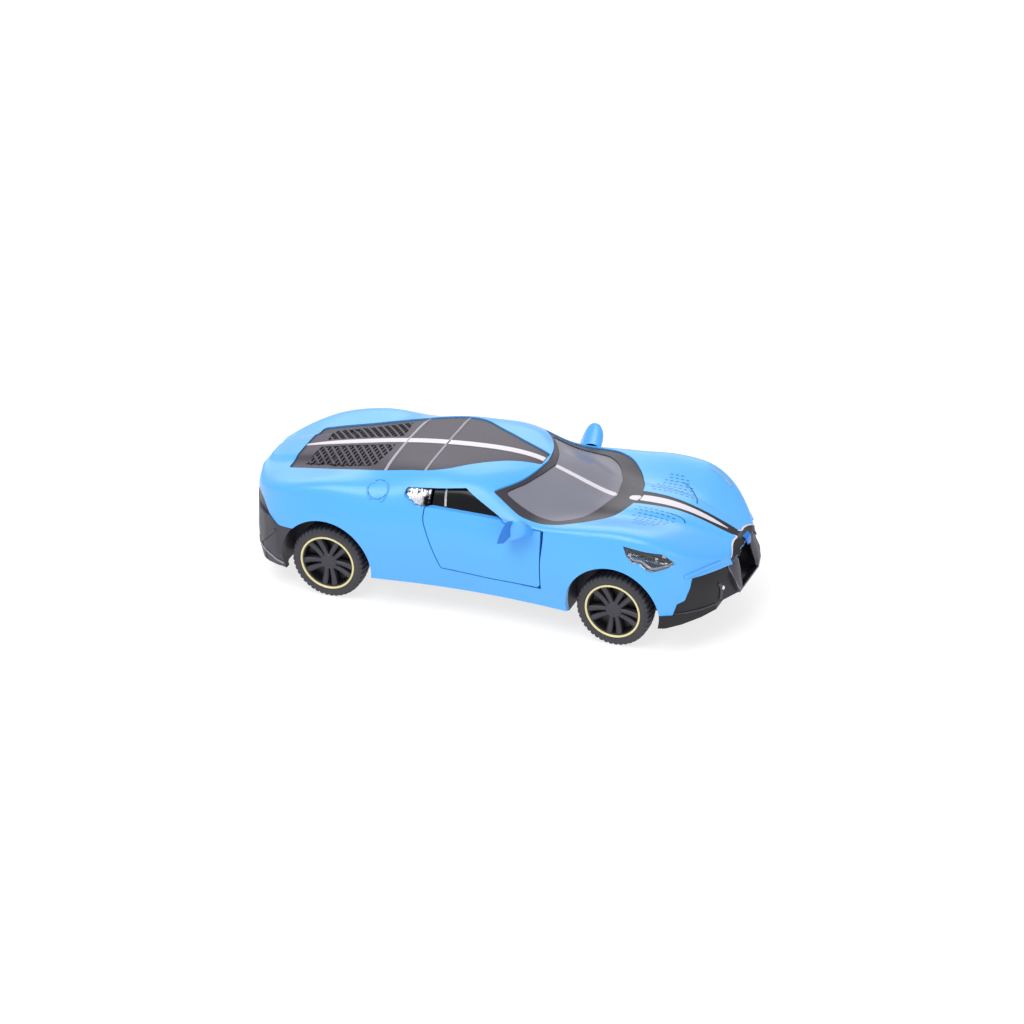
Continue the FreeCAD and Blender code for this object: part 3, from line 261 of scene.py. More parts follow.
def grid_faces(rows, columns, first=0, closed=False):
    """Quads between neighbouring rows of a grid of points."""
    faces = []
    last = columns if closed else columns - 1
    for i in range(rows - 1):
        for j in range(last):
            a = first + i * columns + j
            b = first + i * columns + (j + 1) % columns
            faces.append((a, b, b + columns, a + columns))
    return faces


def turned_faces(steps, columns):
    """Quads between neighbouring rows of a grid whose last row meets its first."""
    faces = grid_faces(steps, columns)
    last = (steps - 1) * columns
    for k in range(columns - 1):
        faces.append((last + k, last + k + 1, k + 1, k))
    return faces


def solid(obj, thick, offset=-1.0):
    """Gives a sheet its thickness: behind its faces at -1, in front at 1, both ways at 0."""
    wall = obj.modifiers.new("solid", "SOLIDIFY")
    wall.thickness = thick * MM
    wall.offset = offset


def curve_through(points, count):
    """Smooth points through a polyline of (u, v) points."""
    points = [Vector(p) for p in points]
    if len(points) == 2:
        return [points[0].lerp(points[1], i / (count - 1)) for i in range(count)]
    ends = [2 * points[0] - points[1]] + points + [2 * points[-1] - points[-2]]
    spans = len(points) - 1
    made = []
    for i in range(count):
        s = i / (count - 1) * spans
        k = min(int(s), spans - 1)
        t = s - k
        a, b, c, d = ends[k:k + 4]
        made.append(0.5 * (2 * b + (c - a) * t + (2 * a - 5 * b + 4 * c - d) * t * t
                           + (3 * b - a - 3 * c + d) * t * t * t))
    return made


TOP = "top"
RIGHT = "right"
LEFT = "left"
NOSE = "nose"
# Where each view looks from, for a point (u, v) of it, and which way it looks.
VIEWS = {
    TOP: (lambda u, v: at(u, v, 80), Vector((0, 0, -1))),
    RIGHT: (lambda u, v: at(u, -60, v), Vector((0, 1, 0))),
    LEFT: (lambda u, v: at(u, 60, v), Vector((0, -1, 0))),
    NOSE: (lambda u, v: at(100, u, v), Vector((-1, 0, 0))),
}


def drop(skin, view, u, v, lift):
    """Drops one point of a view onto the skin and lifts it off along the surface."""
    start, way = VIEWS[view]
    spot, normal, _, _ = skin.ray_cast(start(u, v), way)
    if spot is None:
        spot, normal, _, _ = skin.find_nearest(start(u, v) + way * 60 * MM)
    if normal.dot(way) > 0:
        normal = -normal
    return spot + normal * lift * MM


def band(name, edge_a, edge_b, skin, view, material, lift=0.12, thick=0.25, count=40, across=5,
         body="car"):
    """A thin strip between two edges, laid on the skin."""
    first = curve_through(edge_a, count)
    second = curve_through(edge_b, count)
    points = []
    for a, b in zip(first, second):
        for j in range(across):
            spot = a.lerp(b, j / (across - 1))
            points.append(drop(skin, view, spot[0], spot[1], lift))
    obj = piece(name, mesh_from(name, points, grid_faces(count, across)), material, body)
    solid(obj, thick, 1.0 if view == LEFT else -1.0)
    finish_edges(obj, weld=False)
    return obj


def line(name, path, width, skin, view, material, lift=0.12, thick=0.25, count=30, body="car",
         ends=(1.0, 1.0)):
    """A strip of one width along a path, narrowing to the given shares at its ends."""
    middle = curve_through(path, count)
    points = []
    for i, spot in enumerate(middle):
        ahead = middle[min(i + 1, count - 1)] - middle[max(i - 1, 0)]
        across = Vector((-ahead[1], ahead[0])).normalized()
        share = ends[0] + (ends[1] - ends[0]) * i / (count - 1)
        for j in (-1.0, 0.0, 1.0):
            place = spot + across * j * width * share / 2
            points.append(drop(skin, view, place[0], place[1], lift * (1.0 if j == 0 else 0.6)))
    obj = piece(name, mesh_from(name, points, grid_faces(count, 3)), material, body)
    solid(obj, thick, 0.0)
    finish_edges(obj, weld=False)
    return obj


def sides():
    """Name, sign of Y and view of the two sides."""
    return (("left", 1, LEFT), ("right", -1, RIGHT))


# ---------------------------------------------------------------- stripes
STRIPE_HALF = [(-55.8, 0.45), (-48.0, 1.0), (-40.0, 1.15), (-20.0, 1.15), (0.0, 1.1), (12.0, 0.95)]
STRIPE_SPANS = {"rear": (-55.8, -26.6), "middle": (-26.2, -15.1), "front": (-14.7, 12.1)}
ROOF_NODES = ("engine_cover", "roof_middle_panel", "roof_front_panel")


def stripes():
    """The silver line down the middle, in pieces that stop at the panel joints."""
    roof = surface_of(*ROOF_NODES)

    def half(x):
        for (a, wa), (b, wb) in zip(STRIPE_HALF, STRIPE_HALF[1:]):
            if x <= b:
                return wa + (wb - wa) * (x - a) / (b - a)
        return STRIPE_HALF[-1][1]

    for name, (low, high) in STRIPE_SPANS.items():
        stops = [low + (high - low) * i / 6 for i in range(7)]
        band("roof_stripe_" + name, [(x, half(x)) for x in stops], [(x, -half(x)) for x in stops],
             roof, TOP, "stripe_silver")
    glass = surface_of("windscreen")
    edge = [(15.2, 0.7), (24.0, 0.8), (32.0, 0.9)]
    band("glass_stripe", edge, [(x, -w) for x, w in edge], glass, TOP, "stripe_silver", lift=0.08)
    hood = surface_of("hood_stripe", "windscreen_frame", "body_shell")
    edge = [(35.6, 0.3), (36.3, 1.1), (39.0, 1.45), (44.0, 1.5), (51.0, 1.15), (58.0, 0.8),
            (62.6, 0.12)]
    band("hood_line", edge, [(x, -w) for x, w in edge], hood, TOP, "stripe_silver", lift=0.06)


# ---------------------------------------------------------------- engine vents
# The left vent's outline as (x, y), how far its bars and floor lie below the cover, and the floor.
VENT = [(-50.6, 2.0), (-51.7, 9.8), (-30.4, 12.9), (-29.0, 6.0), (-29.0, 2.4)]
BAR_FOOT = 0.45
FLOOR_SINK = 0.42
FLOOR_CLEAR = 0.08
FLOOR_REAR_X = -51.6
FLOOR_LENGTH = 22.5
FLOOR_INNER_Y = 2.1
FLOOR_REAR_WIDTH = 7.5
FLOOR_FLARE = 0.147


def inside_span(outline, point, way):
    """Where a line runs through a convex outline, as a (start, end) pair of distances."""
    low = -1e9
    high = 1e9
    centre = sum((Vector(p) for p in outline), Vector((0, 0))) / len(outline)
    for a, b in zip(outline, outline[1:] + outline[:1]):
        edge = Vector(b) - Vector(a)
        normal = Vector((-edge[1], edge[0]))
        if normal.dot(centre - Vector(a)) < 0:
            normal = -normal
        reach = normal.dot(point - Vector(a))
        speed = normal.dot(way)
        if abs(speed) < 1e-9:
            if reach < 0:
                return None
            continue
        cut = -reach / speed
        if speed > 0:
            low = max(low, cut)
        else:
            high = min(high, cut)
    return (low, high) if high - low > 0.3 else None


def vent_rows(sign):
    """First X, step, count, lean, half width and depth of the two sets of bars of a vent."""
    if sign > 0:
        return ((-54.0, 2.15, 16, -0.76, 0.36, 0.0), (-56.0, 1.35, 26, 0.25, 0.12, 0.16))
    return ((-60.0, 2.15, 16, 0.76, 0.36, 0.0), (-56.0, 1.35, 26, -0.25, 0.27, 0.16))


def vents():
    """Crossed bars over a dark floor in each opening of the engine cover."""
    cover = surface_of("engine_cover")
    shell = surface_of("body_shell")

    def level(x, y):
        """Height of the cover's face, carried across the opening."""
        reach = 13.4 if x > -47 else 12.0
        middle = drop(cover, TOP, x, 0, 0).z / MM
        edge = drop(cover, TOP, x, reach, 0).z / MM
        return middle - (middle - edge) * (y / reach) ** 2

    for name, sign, _ in sides():
        points = []
        faces = []

        def strip(start, end, half, sink, steps=10):
            way = (end - start).normalized()
            across = Vector((-way[1], way[0])) * half
            first = len(points)
            for i in range(steps):
                spot = start.lerp(end, i / (steps - 1))
                for j, below in ((-1.0, BAR_FOOT), (-0.7, sink), (0.7, sink), (1.0, BAR_FOOT)):
                    x, y = spot + across * j
                    points.append(at(x, y * sign, level(x, y) - below))
            faces.extend(grid_faces(steps, 4, first))

        for first_x, step, count, lean, half, sink in vent_rows(sign):
            for i in range(count):
                start = Vector((first_x + step * i, 0.0))
                way = Vector((lean, 1.0)).normalized()
                span = inside_span(VENT, start, way)
                if span:
                    strip(start + way * span[0], start + way * span[1], half, sink)
        bars = piece(name + "_vent_bars", mesh_from("vent_bars", points, faces), "dark_panel")
        finish_edges(bars, weld=False)
        floor_points = []
        rows = 24
        columns = 8
        for i in range(rows):
            ahead = FLOOR_LENGTH * i / (rows - 1)
            x = FLOOR_REAR_X + ahead
            width = FLOOR_REAR_WIDTH + FLOOR_FLARE * ahead
            for j in range(columns):
                y = FLOOR_INNER_Y + width * j / (columns - 1)
                paint = drop(shell, TOP, x, sign * y, FLOOR_CLEAR).z / MM
                floor_points.append(at(x, sign * y, max(level(x, y) - FLOOR_SINK, paint)))
        floor_mesh = mesh_from("vent_floor", floor_points, grid_faces(rows, columns))
        backing = piece(name + "_vent_mesh", floor_mesh, "vent_dark")
        finish_edges(backing, weld=False)
        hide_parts(name + "_engine_grille")


# ---------------------------------------------------------------- bonnet
SLOT_ROWS = 8
SLOT_STEP = 1.5
SLOT_LENGTH = 0.84
SLOT_WIDTH = 0.32
BONNET_LIPS = {
    "left": [(46.2, 11.8), (49.2, 9.6), (51.6, 6.6), (52.9, 3.6)],
    "right": [(48.6, 5.1), (51.0, 5.2), (52.6, 5.6), (53.2, 6.3)],
}


def bonnet():
    """Two fields of short slots in staggered rows, and the small lip in front of each. The slots are flat
    darker-blue marks just off the skin, painted shade standing in for recessed slots; the lip is a thin
    darker line, painted shadow under a raised rim.
    """
    shell = surface_of("body_shell")
    signs = ((-1, -1), (1, -1), (1, 1), (-1, 1))
    corners = [(SLOT_LENGTH / 2 * i, SLOT_WIDTH / 2 * j) for i, j in signs]
    for name, sign, _ in sides():
        points = []
        faces = []
        for row in range(SLOT_ROWS):
            y = 5.2 + 1.25 * row
            front = 51.8 - 0.055 * (y - 4.0) ** 2
            rear = 38.8 + 0.25 * row
            first_x = front - 0.7 - 0.6 * (row % 2)
            for i in range(int((front - rear) / SLOT_STEP)):
                x = first_x - SLOT_STEP * i
                first = len(points)
                points.extend(drop(shell, TOP, x + dx, sign * (y + dy), 0.035) for dx, dy in corners)
                faces.append((first, first + 1, first + 2, first + 3))
        # Painted shade: each slot is a flat darker quad just off the skin, with no recess cut.
        piece(name + "_bonnet_slots", mesh_from("bonnet_slots", points, faces), "slot_shade_blue")
        # The lip is a near-flat darker line on the skin: painted shadow of a raised rim.
        lip = [(x, sign * y) for x, y in BONNET_LIPS[name]]
        line(name + "_bonnet_lip", lip, 0.4, shell, TOP, "lip_shadow_blue", lift=0.05, thick=0.08,
             ends=(0.3, 1.0))


def seams():
    """The bright joints between the three roof panels."""
    roof = surface_of(*ROOF_NODES)
    for name, x, reach in (("rear", -26.3, 15.3), ("front", -14.9, 15.6)):
        for side, sign, _ in sides():
            path = [(x, sign * y) for y in (1.3, 8.0, reach)]
            line("%s_%s_seam" % (side, name), path, 0.34, roof, TOP, "seam_silver", lift=0.1,
                 thick=0.2)


def flap_arcs():
    """Two raised brackets on the ring of the flap on the right rear wing."""
    shell = surface_of("body_shell")
    for name, middle in (("rear", math.pi), ("front", 0.0)):
        turns = [middle + math.radians(a) for a in (-62, -35, 0, 35, 62)]
        path = [(-26.1 + 2.9 * math.cos(a), -21.5 + 2.2 * math.sin(a)) for a in turns]
        line("flap_arc_" + name, path, 0.55, shell, TOP, "body_paint", lift=0.2, ends=(0.6, 0.6))


def creases():
    """The raised fold that runs along each side of the nose."""
    shell = surface_of("body_shell")
    path = [(58.4, 21.2), (60.6, 21.7), (62.7, 22.0), (64.9, 22.2)]
    for name, _, view in sides():
        line(name + "_nose_crease", path, 0.7, shell, view, "body_paint", lift=0.22, thick=0.3)


# ---------------------------------------------------------------- lamps and bright trim
LAMP_SPOTS = [(44.9, 26.9, 0.75), (51.6, 26.5, 0.7), (53.3, 27.0, 0.85)]


def headlights():
    """Bright edges, a dark bar and three light spots in each headlight pan."""
    low = [(44.4, 26.9), (46.0, 25.8), (47.9, 25.5), (49.6, 24.2), (51.0, 23.7), (54.2, 24.4),
           (55.7, 25.1)]
    for name, _, view in sides():
        pan = surface_of(name + "_headlight_reflector")
        line(name + "_lamp_edge", low, 0.5, pan, view, "bright_plating", lift=0.25, thick=0.3)
        line(name + "_lamp_blade", [(44.6, 27.0), (48.4, 26.3), (54.0, 24.9)], 0.45, pan, view,
             "bright_plating", lift=0.35, thick=0.3)
        line(name + "_lamp_bar", [(44.4, 28.6), (49.0, 27.6), (53.4, 26.6)], 0.9, pan, view, "gloss_black",
             lift=0.3, thick=0.35)
        for i, (x, z, size) in enumerate(LAMP_SPOTS):
            spot = [(x - size / 2, z), (x + size / 2, z + 0.05)]
            line("%s_lamp_spot_%d" % (name, i), spot, size, pan, view, "lamp_white", lift=0.45,
                 thick=0.2, count=6)
    # Painted highlight: a bright strip on the left crest only, standing in for a glint along the top of
    # the far headlight.
    upper_strip = [(50.6, 20.0), (53.4, 19.3), (55.6, 18.2), (57.2, 17.0)]
    line("left_lamp_glint", upper_strip, 0.7, surface_of("body_shell"), TOP, "bright_plating", lift=0.12,
         thick=0.2, ends=(0.4, 0.7))


def window_bars():
    """The thin bright upright in each side window."""
    for name, _, view in sides():
        glass = surface_of(name + "_door_glass", name + "_quarter_trim")
        line(name + "_window_bar", [(-7.8, 34.6), (-7.2, 30.6)], 0.45, glass, view, "bright_plating",
             lift=0.3, thick=0.3, body=name + "_door")


# ---------------------------------------------------------------- nose
# One half of the mouth as (y, z), and how far forward the nose reaches as (z, x).
MOUTH = [(0, 23.0), (4.4, 22.9), (8.9, 20.6), (8.6, 15.6), (6.6, 11.8), (0, 11.8)]
NOSE_RAKE = [(11.0, 68.3), (13.5, 68.3), (16.2, 67.8), (18.0, 66.9), (20.2, 65.5), (24.0, 64.5)]


def raked(z):
    """How far forward the face of the nose reaches at a height."""
    for (low, a), (high, b) in zip(NOSE_RAKE, NOSE_RAKE[1:]):
        if z <= high:
            return a + (b - a) * max(z - low, 0.0) / (high - low)
    return NOSE_RAKE[-1][1]


def bumper_face():
    """The front bumper with the ring round its mouth leaning back towards the top."""
    source = NODES["front_bumper"].data
    points = []
    for vertex in source.vertices:
        x, y, z = vertex.co / MM
        points.append(Vector((min(x, MIDDLE_X + raked(z)), y, z)) * MM)
    faces = [tuple(p.vertices) for p in source.polygons]
    face = piece("front_bumper_face", mesh_from("bumper_face", points, faces), "bumper_black")
    finish_edges(face)
    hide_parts("front_bumper")


def mirrored(half):
    """A whole outline from (y, z) points of its left half, which end on the middle line."""
    return [(-y, z) for y, z in half] + half[-2::-1]


def nose_brow():
    """The dark upper edge of the mouth, laid over the skin and hanging a little over the opening."""
    front = surface_of("front_bumper", "body_shell", "front_grille")
    top = mirrored([(9.0, 22.0), (7.4, 23.1), (5.0, 23.8), (0.0, 24.3)])
    low = mirrored([(8.4, 19.8), (6.8, 21.2), (4.4, 22.4), (0.0, 22.6)])
    count = 48
    rows = 7
    points = []
    for a, b in zip(curve_through(top, count), curve_through(low, count)):
        reach = -1.0
        hanging = False
        for j in range(rows):
            y, z = a.lerp(b, j / (rows - 1))
            spot = drop(front, NOSE, y, z, 0.12)
            if not hanging and spot.x < reach - 0.5 * MM:
                hanging = True
                reach += 0.4 * MM
            if hanging:
                spot = Vector((reach, y * MM, z * MM))
            reach = spot.x
            points.append(spot)
    upper_strip = piece("nose_brow", mesh_from("nose_brow", points, grid_faces(count, rows)), "bowl_black")
    finish_edges(upper_strip, weld=False)
    line("nose_brow_edge", top, 0.16, front, NOSE, "stripe_silver", lift=0.2, thick=0.15,
         count=count)


def nose_bowl():
    """The dark dish inside the mouth, in place of the CAD grille."""
    outer = MOUTH + [(-y, z) for y, z in reversed(MOUTH[1:-1])]
    rim = curve_through(outer + outer[:1], 72)[:-1]
    centre = Vector((0.0, 17.2))
    steps = 10
    points = []
    for i in range(steps):
        share = 1 - i / (steps - 1)
        depth = 2.9 * (1 - share ** 3)
        for spot in rim:
            y, z = centre + (spot - centre) * (0.985 * share)
            edge_y, edge_z = centre + (spot - centre) * 0.93
            crown = 67.3 - 0.028 * edge_y ** 2 - 0.012 * (edge_z - centre[1]) ** 2
            points.append(at(min(crown, raked(edge_z) - 0.4) - depth, y, z))
    faces = grid_faces(steps, len(rim), closed=True)
    bowl = piece("nose_bowl", mesh_from("nose_bowl", points, faces), "bowl_black")
    finish_edges(bowl, weld=False)
    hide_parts("front_grille")


CHEEK_OUTSIDE = [(65.7, 9.2, 20.3), (66.4, 9.5, 18.8), (67.4, 9.3, 16.6), (68.2, 8.4, 13.8),
                 (68.3, 6.6, 12.0)]
CHEEK_INSIDE = [(66.4, 6.2, 21.4), (67.2, 4.4, 19.6), (67.8, 4.6, 16.8), (68.2, 5.2, 14.4),
                (68.3, 5.8, 12.4)]


def nose_cheeks():
    """The dark panels that narrow the mouth from both sides, each with a pale outer edge."""
    rows = len(CHEEK_OUTSIDE)
    stops = (0.0, 0.35, 0.7, 1.0)
    for name, sign, _ in sides():
        points = []
        for a, b in zip(CHEEK_OUTSIDE, CHEEK_INSIDE):
            for t in stops:
                x, y, z = [a[k] + (b[k] - a[k]) * t for k in range(3)]
                tuck = 0.35 if t == stops[-1] else 0.0
                points.append(at(x + 0.25 * math.sin(math.pi * t) - tuck, sign * y, z))
        faces = grid_faces(rows, len(stops))
        cheek = piece(name + "_nose_cheek", mesh_from("nose_cheek", points, faces), "dark_panel")
        solid(cheek, 0.3, 0.0)
        finish_edges(cheek, weld=False)
        points = []
        for x, y, z in CHEEK_OUTSIDE:
            for dx, dz in ((0, 0.15), (0.15, 0), (0, -0.15)):
                points.append(at(x + 0.05 + dx, sign * (y + 0.05), z + dz))
        trim = piece(name + "_cheek_edge", mesh_from("cheek_edge", points, grid_faces(rows, 3)),
                     "edge_grey")
        solid(trim, 0.2, 0.0)
        finish_edges(trim, weld=False)


def nose_flap():
    """The blue tongue that hangs over the middle of the mouth."""
    points = [at(66.9, -1.0, 24.35), at(67.2, 1.9, 24.3), at(67.9, -1.1, 23.75),
              at(68.15, 1.8, 23.6), at(68.3, -0.9, 22.0), at(68.35, 1.4, 21.7)]
    faces = [(0, 1, 3, 2), (2, 3, 5, 4)]
    flap = piece("nose_flap", mesh_from("nose_flap", points, faces), "deep_blue")
    solid(flap, 0.3, 0.0)
    finish_edges(flap, 0.12, weld=False)


def bumper_lines():
    """The upright rib and the lower edge on each side of the front bumper."""
    skin = surface_of("front_bumper")
    for name, _, view in sides():
        line(name + "_bumper_rib", [(64.9, 16.6), (65.3, 14.8), (65.1, 11.9)], 0.4, skin, view,
             "dark_panel", lift=0.2, thick=0.3)
        line(name + "_bumper_edge", [(54.5, 11.2), (58.0, 11.2), (61.6, 11.0), (64.4, 11.1)], 0.35,
             skin, view, "dark_panel", lift=0.15)


DOME = [(0.62, -0.2), (0.62, 0.08), (0.5, 0.2), (0.42, 0.12), (0.3, 0.3), (0.05, 0.38)]


def lamp_domes():
    """The small round lamps in the corners of the nose."""
    steps = 16
    skin = surface_of("front_bumper")
    for name, sign, view in sides():
        base = drop(skin, view, 65.5, 14.9, 0.05)
        out = Vector((0.75, sign * 0.65, 0.1)).normalized()
        across = out.cross(Vector((0, 0, 1))).normalized()
        up = across.cross(out)
        points = []
        for radius, rise in DOME:
            for k in range(steps):
                turn = 2 * math.pi * k / steps
                around = across * math.cos(turn) + up * math.sin(turn)
                points.append(base + (around * radius + out * rise) * MM)
        faces = grid_faces(len(DOME), steps, closed=True)
        lamp = piece(name + "_corner_lamp", mesh_from("corner_lamp", points, faces), "lamp_white")
        finish_edges(lamp, weld=False)


# ---------------------------------------------------------------- tail
def tail_lines():
    """A pale line painted as the highlight along a ridge, and a dark line along a fold, on each side of
    the rear bumper; together they stand in for the shading of its facets.
    """
    skin = surface_of("rear_bumper")
    for name, _, view in sides():
        # Painted highlight along the ridge where two facets of the bumper meet.
        line(name + "_tail_ridge_highlight", [(-60.7, 10.6), (-56.0, 8.9), (-51.9, 7.3)], 0.5, skin, view,
             "edge_grey", lift=0.18, thick=0.3)
        line(name + "_tail_facet", [(-60.7, 10.8), (-57.4, 14.4), (-54.6, 17.4)], 0.45, skin, view,
             "dark_panel", lift=0.15, thick=0.3)


def tail_corners():
    """The facets that wrap the lower corners of the tail, just proud of the bumper."""
    low = [(-58.8, 22.0), (-60.2, 20.6), (-61.3, 17.4)]
    ridge = [(-59.4, 22.5), (-61.3, 20.5), (-62.9, 17.3)]
    proud = 0.06
    for name, sign, _ in sides():
        points = []
        for place, z in ((low, 6.2), (ridge, 10.6)):
            points.extend(at(x - proud, sign * (y + proud), z) for x, y in place)
        corner = piece(name + "_tail_corner", mesh_from("tail_corner", points, grid_faces(2, 3)),
                       "black_plastic")
        solid(corner, 0.1, 0.0)
        finish_edges(corner, weld=False)


# ---------------------------------------------------------------- mirrors
def mirrors():
    """Rounded wedges on a foot, each riding its door."""
    root = [(11.5, 25.6), (15.0, 26.6), (18.6, 27.9), (18.2, 29.4), (17.0, 30.4), (15.3, 30.5),
            (13.4, 29.6), (12.2, 27.6)]
    waist = [(10.9, 25.9), (14.6, 27.0), (18.0, 28.4), (18.2, 30.6), (17.2, 32.0), (15.2, 32.2),
             (13.2, 31.0), (11.8, 28.2)]
    middle = [(10.0, 26.0), (14.0, 27.4), (17.7, 28.9), (18.2, 31.8), (17.2, 33.8), (15.2, 34.0),
              (13.0, 32.8), (11.4, 29.2)]
    tip = [(10.0, 26.3), (13.2, 27.6), (16.0, 29.6), (16.8, 32.4), (16.0, 34.6), (14.4, 34.8),
           (12.8, 33.4), (11.2, 29.6)]
    for name, sign, _ in sides():
        points = []
        for y, section in ((23.4, root), (25.2, waist), (27.4, middle), (29.1, tip)):
            points.extend(at(x, sign * y, z) for x, z in section)
        faces = grid_faces(4, 8, closed=True)
        faces.append(tuple(range(24, 32)))
        if sign < 0:
            faces = [tuple(reversed(f)) for f in faces]
        mirror = piece(name + "_mirror_shell", mesh_from("mirror_shell", points, faces), "body_paint",
                       name + "_door")
        rounding = mirror.modifiers.new("round", "SUBSURF")
        rounding.levels = 2
        rounding.render_levels = 2
        for poly in mirror.data.polygons:
            poly.use_smooth = True
        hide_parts(name + "_mirror")


# Outline, as (x, z), of the painted shade on the outer end of the right mirror.
MIRROR_SHADE = [(10.1, 26.7), (12.1, 27.2), (10.8, 28.9), (13.8, 29.4), (11.6, 31.0), (13.8, 31.6),
               (12.6, 32.8), (14.2, 33.2), (13.5, 34.0), (14.8, 34.1)]


def mirror_shade_patch():
    """A darker-blue sheet on the outer end of the right mirror: painted shade where that face turns away
    from the light.
    """
    points = [at(x, -29.2, z) for x, z in MIRROR_SHADE]
    face = piece("right_mirror_shade", mesh_from("mirror_shade_patch", points, grid_faces(5, 2)),
                 "deep_blue", "right_door")
    solid(face, 0.3, 0.0)
    finish_edges(face, 0.1, weld=False)


# ---------------------------------------------------------------- wheels
WHEEL_FACE = 25.4
WHEEL_BACK = WHEEL_FACE - 8.0
TREAD_BLOCKS = 44
STEPS_PER_BLOCK = 6
TREAD_DEPTH = 0.32
SHOULDER_DEPTH = 0.12
# Radius and y of the tyre's section, from the face's bead over the tread to the back's bead.
TYRE_SECTION = [
    (6.9, WHEEL_FACE - 0.9), (7.35, WHEEL_FACE - 0.35), (7.8, WHEEL_FACE - 0.1),
    (8.6, WHEEL_FACE - 0.02), (9.1, WHEEL_FACE - 0.12), (9.25, WHEEL_FACE - 0.2),
    (9.7, WHEEL_FACE - 0.25), (9.98, WHEEL_FACE - 0.6), (10.06, WHEEL_FACE - 1.1),
    (10.08, WHEEL_FACE - 2.2), (10.08, WHEEL_FACE - 2.5), (10.08, WHEEL_FACE - 3.0),
    (10.04, WHEEL_FACE - 4.4), (10.0, WHEEL_FACE - 4.8), (9.8, WHEEL_BACK + 2.2),
    (9.4, WHEEL_BACK + 1.1), (8.9, WHEEL_BACK + 0.4), (7.8, WHEEL_BACK + 0.02),
    (6.9, WHEEL_BACK + 0.4),
]
# Places in the section that are sunk all round.
SHOULDER_GROOVE = 5
TREAD_GROOVES = (10, 13)


def wheel_frame(end, sign):
    """Turns (radius, y, angle) into a point of one wheel; y grows towards the wheel's face."""
    centre_x = FRONT_X if end == "front" else REAR_X

    def spot(radius, y, turn):
        x = centre_x + radius * math.sin(turn)
        z = AXLE_Z + radius * math.cos(turn)
        return Vector((x, sign * y, z)) * MM

    return spot


def tyre(end, name, sign):
    """A tyre with staggered tread blocks, two grooves round it and one on its shoulder."""
    spot = wheel_frame(end, sign)
    steps = TREAD_BLOCKS * STEPS_PER_BLOCK
    points = []
    for i in range(steps):
        turn = 2 * math.pi * i / steps
        for k, (radius, y) in enumerate(TYRE_SECTION):
            stagger = STEPS_PER_BLOCK // 2 if y < WHEEL_FACE - 3.0 else 0
            phase = (i + stagger) % STEPS_PER_BLOCK
            cut = 0.0
            if k in TREAD_GROOVES or (radius > 9.3 and phase < 2):
                cut = TREAD_DEPTH
            if k == SHOULDER_GROOVE:
                cut = SHOULDER_DEPTH
            points.append(spot(radius - cut, y, turn))
    faces = turned_faces(steps, len(TYRE_SECTION))
    tread = piece("%s_%s_tread" % (end, name), mesh_from("tread", points, faces), "tyre_rubber",
                  end + "_wheels")
    finish_edges(tread, weld=False)
    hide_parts("%s_%s_tyre" % (end, name))


def gold_ring(end, name, sign):
    """The pale ring between the rim and the tyre."""
    spot = wheel_frame(end, sign)
    section = [(7.08, -0.73), (7.08, -0.13), (7.2, 0.02), (7.5, 0.02), (7.6, -0.1), (7.6, -0.58)]
    steps = 96
    points = []
    for i in range(steps):
        turn = 2 * math.pi * i / steps
        points.extend(spot(radius, WHEEL_FACE + rise, turn) for radius, rise in section)
    faces = turned_faces(steps, len(section))
    ring = piece("%s_%s_ring" % (end, name), mesh_from("ring", points, faces), "pale_gold",
                 end + "_wheels")
    finish_edges(ring, weld=False)


ARM_SECTION = [(-1.0, -1.6), (-1.0, -0.3), (-0.45, 0.0), (0.45, 0.0), (1.0, -0.3), (1.0, -1.6)]
ARM_START = 1.5
ARM_END = 6.95
CAP_SECTION = [(2.35, -1.7), (2.35, -0.95), (2.05, -0.7), (1.5, -0.62), (1.2, -0.75), (0.05, -0.72)]
ARMS = 5


def spokes(end, name, sign):
    """Five forked spokes from a five-sided cap, with a rounded ridge along each arm."""
    spot = wheel_frame(end, sign)
    points = []
    faces = []

    def arm(turn, lean):
        first = len(points)
        rows = 7
        for i in range(rows):
            t = i / (rows - 1)
            out = ARM_START + (ARM_END - ARM_START) * t
            half = 0.56 + 0.26 * t
            top = WHEEL_FACE - 0.75 - 0.33 * math.sin(math.pi * t) + 0.25 * t
            for shift, rise in ARM_SECTION:
                aside = lean * (0.62 + 0.85 * t) + shift * half
                points.append(spot(math.hypot(aside, out), top + rise, turn + math.atan2(aside, out)))
        faces.extend(grid_faces(rows, len(ARM_SECTION), first))

    for i in range(ARMS):
        for lean in (-1, 1):
            arm(math.pi + 2 * math.pi * i / ARMS, lean)
    first = len(points)
    steps = 40
    half_sector = math.pi / ARMS
    for radius, rise in CAP_SECTION:
        for k in range(steps):
            turn = 2 * math.pi * k / steps
            sector = (turn + half_sector) % (2 * half_sector) - half_sector
            flat = math.cos(half_sector) / math.cos(abs(sector) - half_sector)
            points.append(spot(radius * (1 - 0.4 * (1 - flat)), WHEEL_FACE + rise, turn))
    faces.extend(grid_faces(len(CAP_SECTION), steps, first, True))
    arms = piece("%s_%s_spokes" % (end, name), mesh_from("spokes", points, faces), "black_plastic",
                 end + "_wheels")
    finish_edges(arms, weld=False)


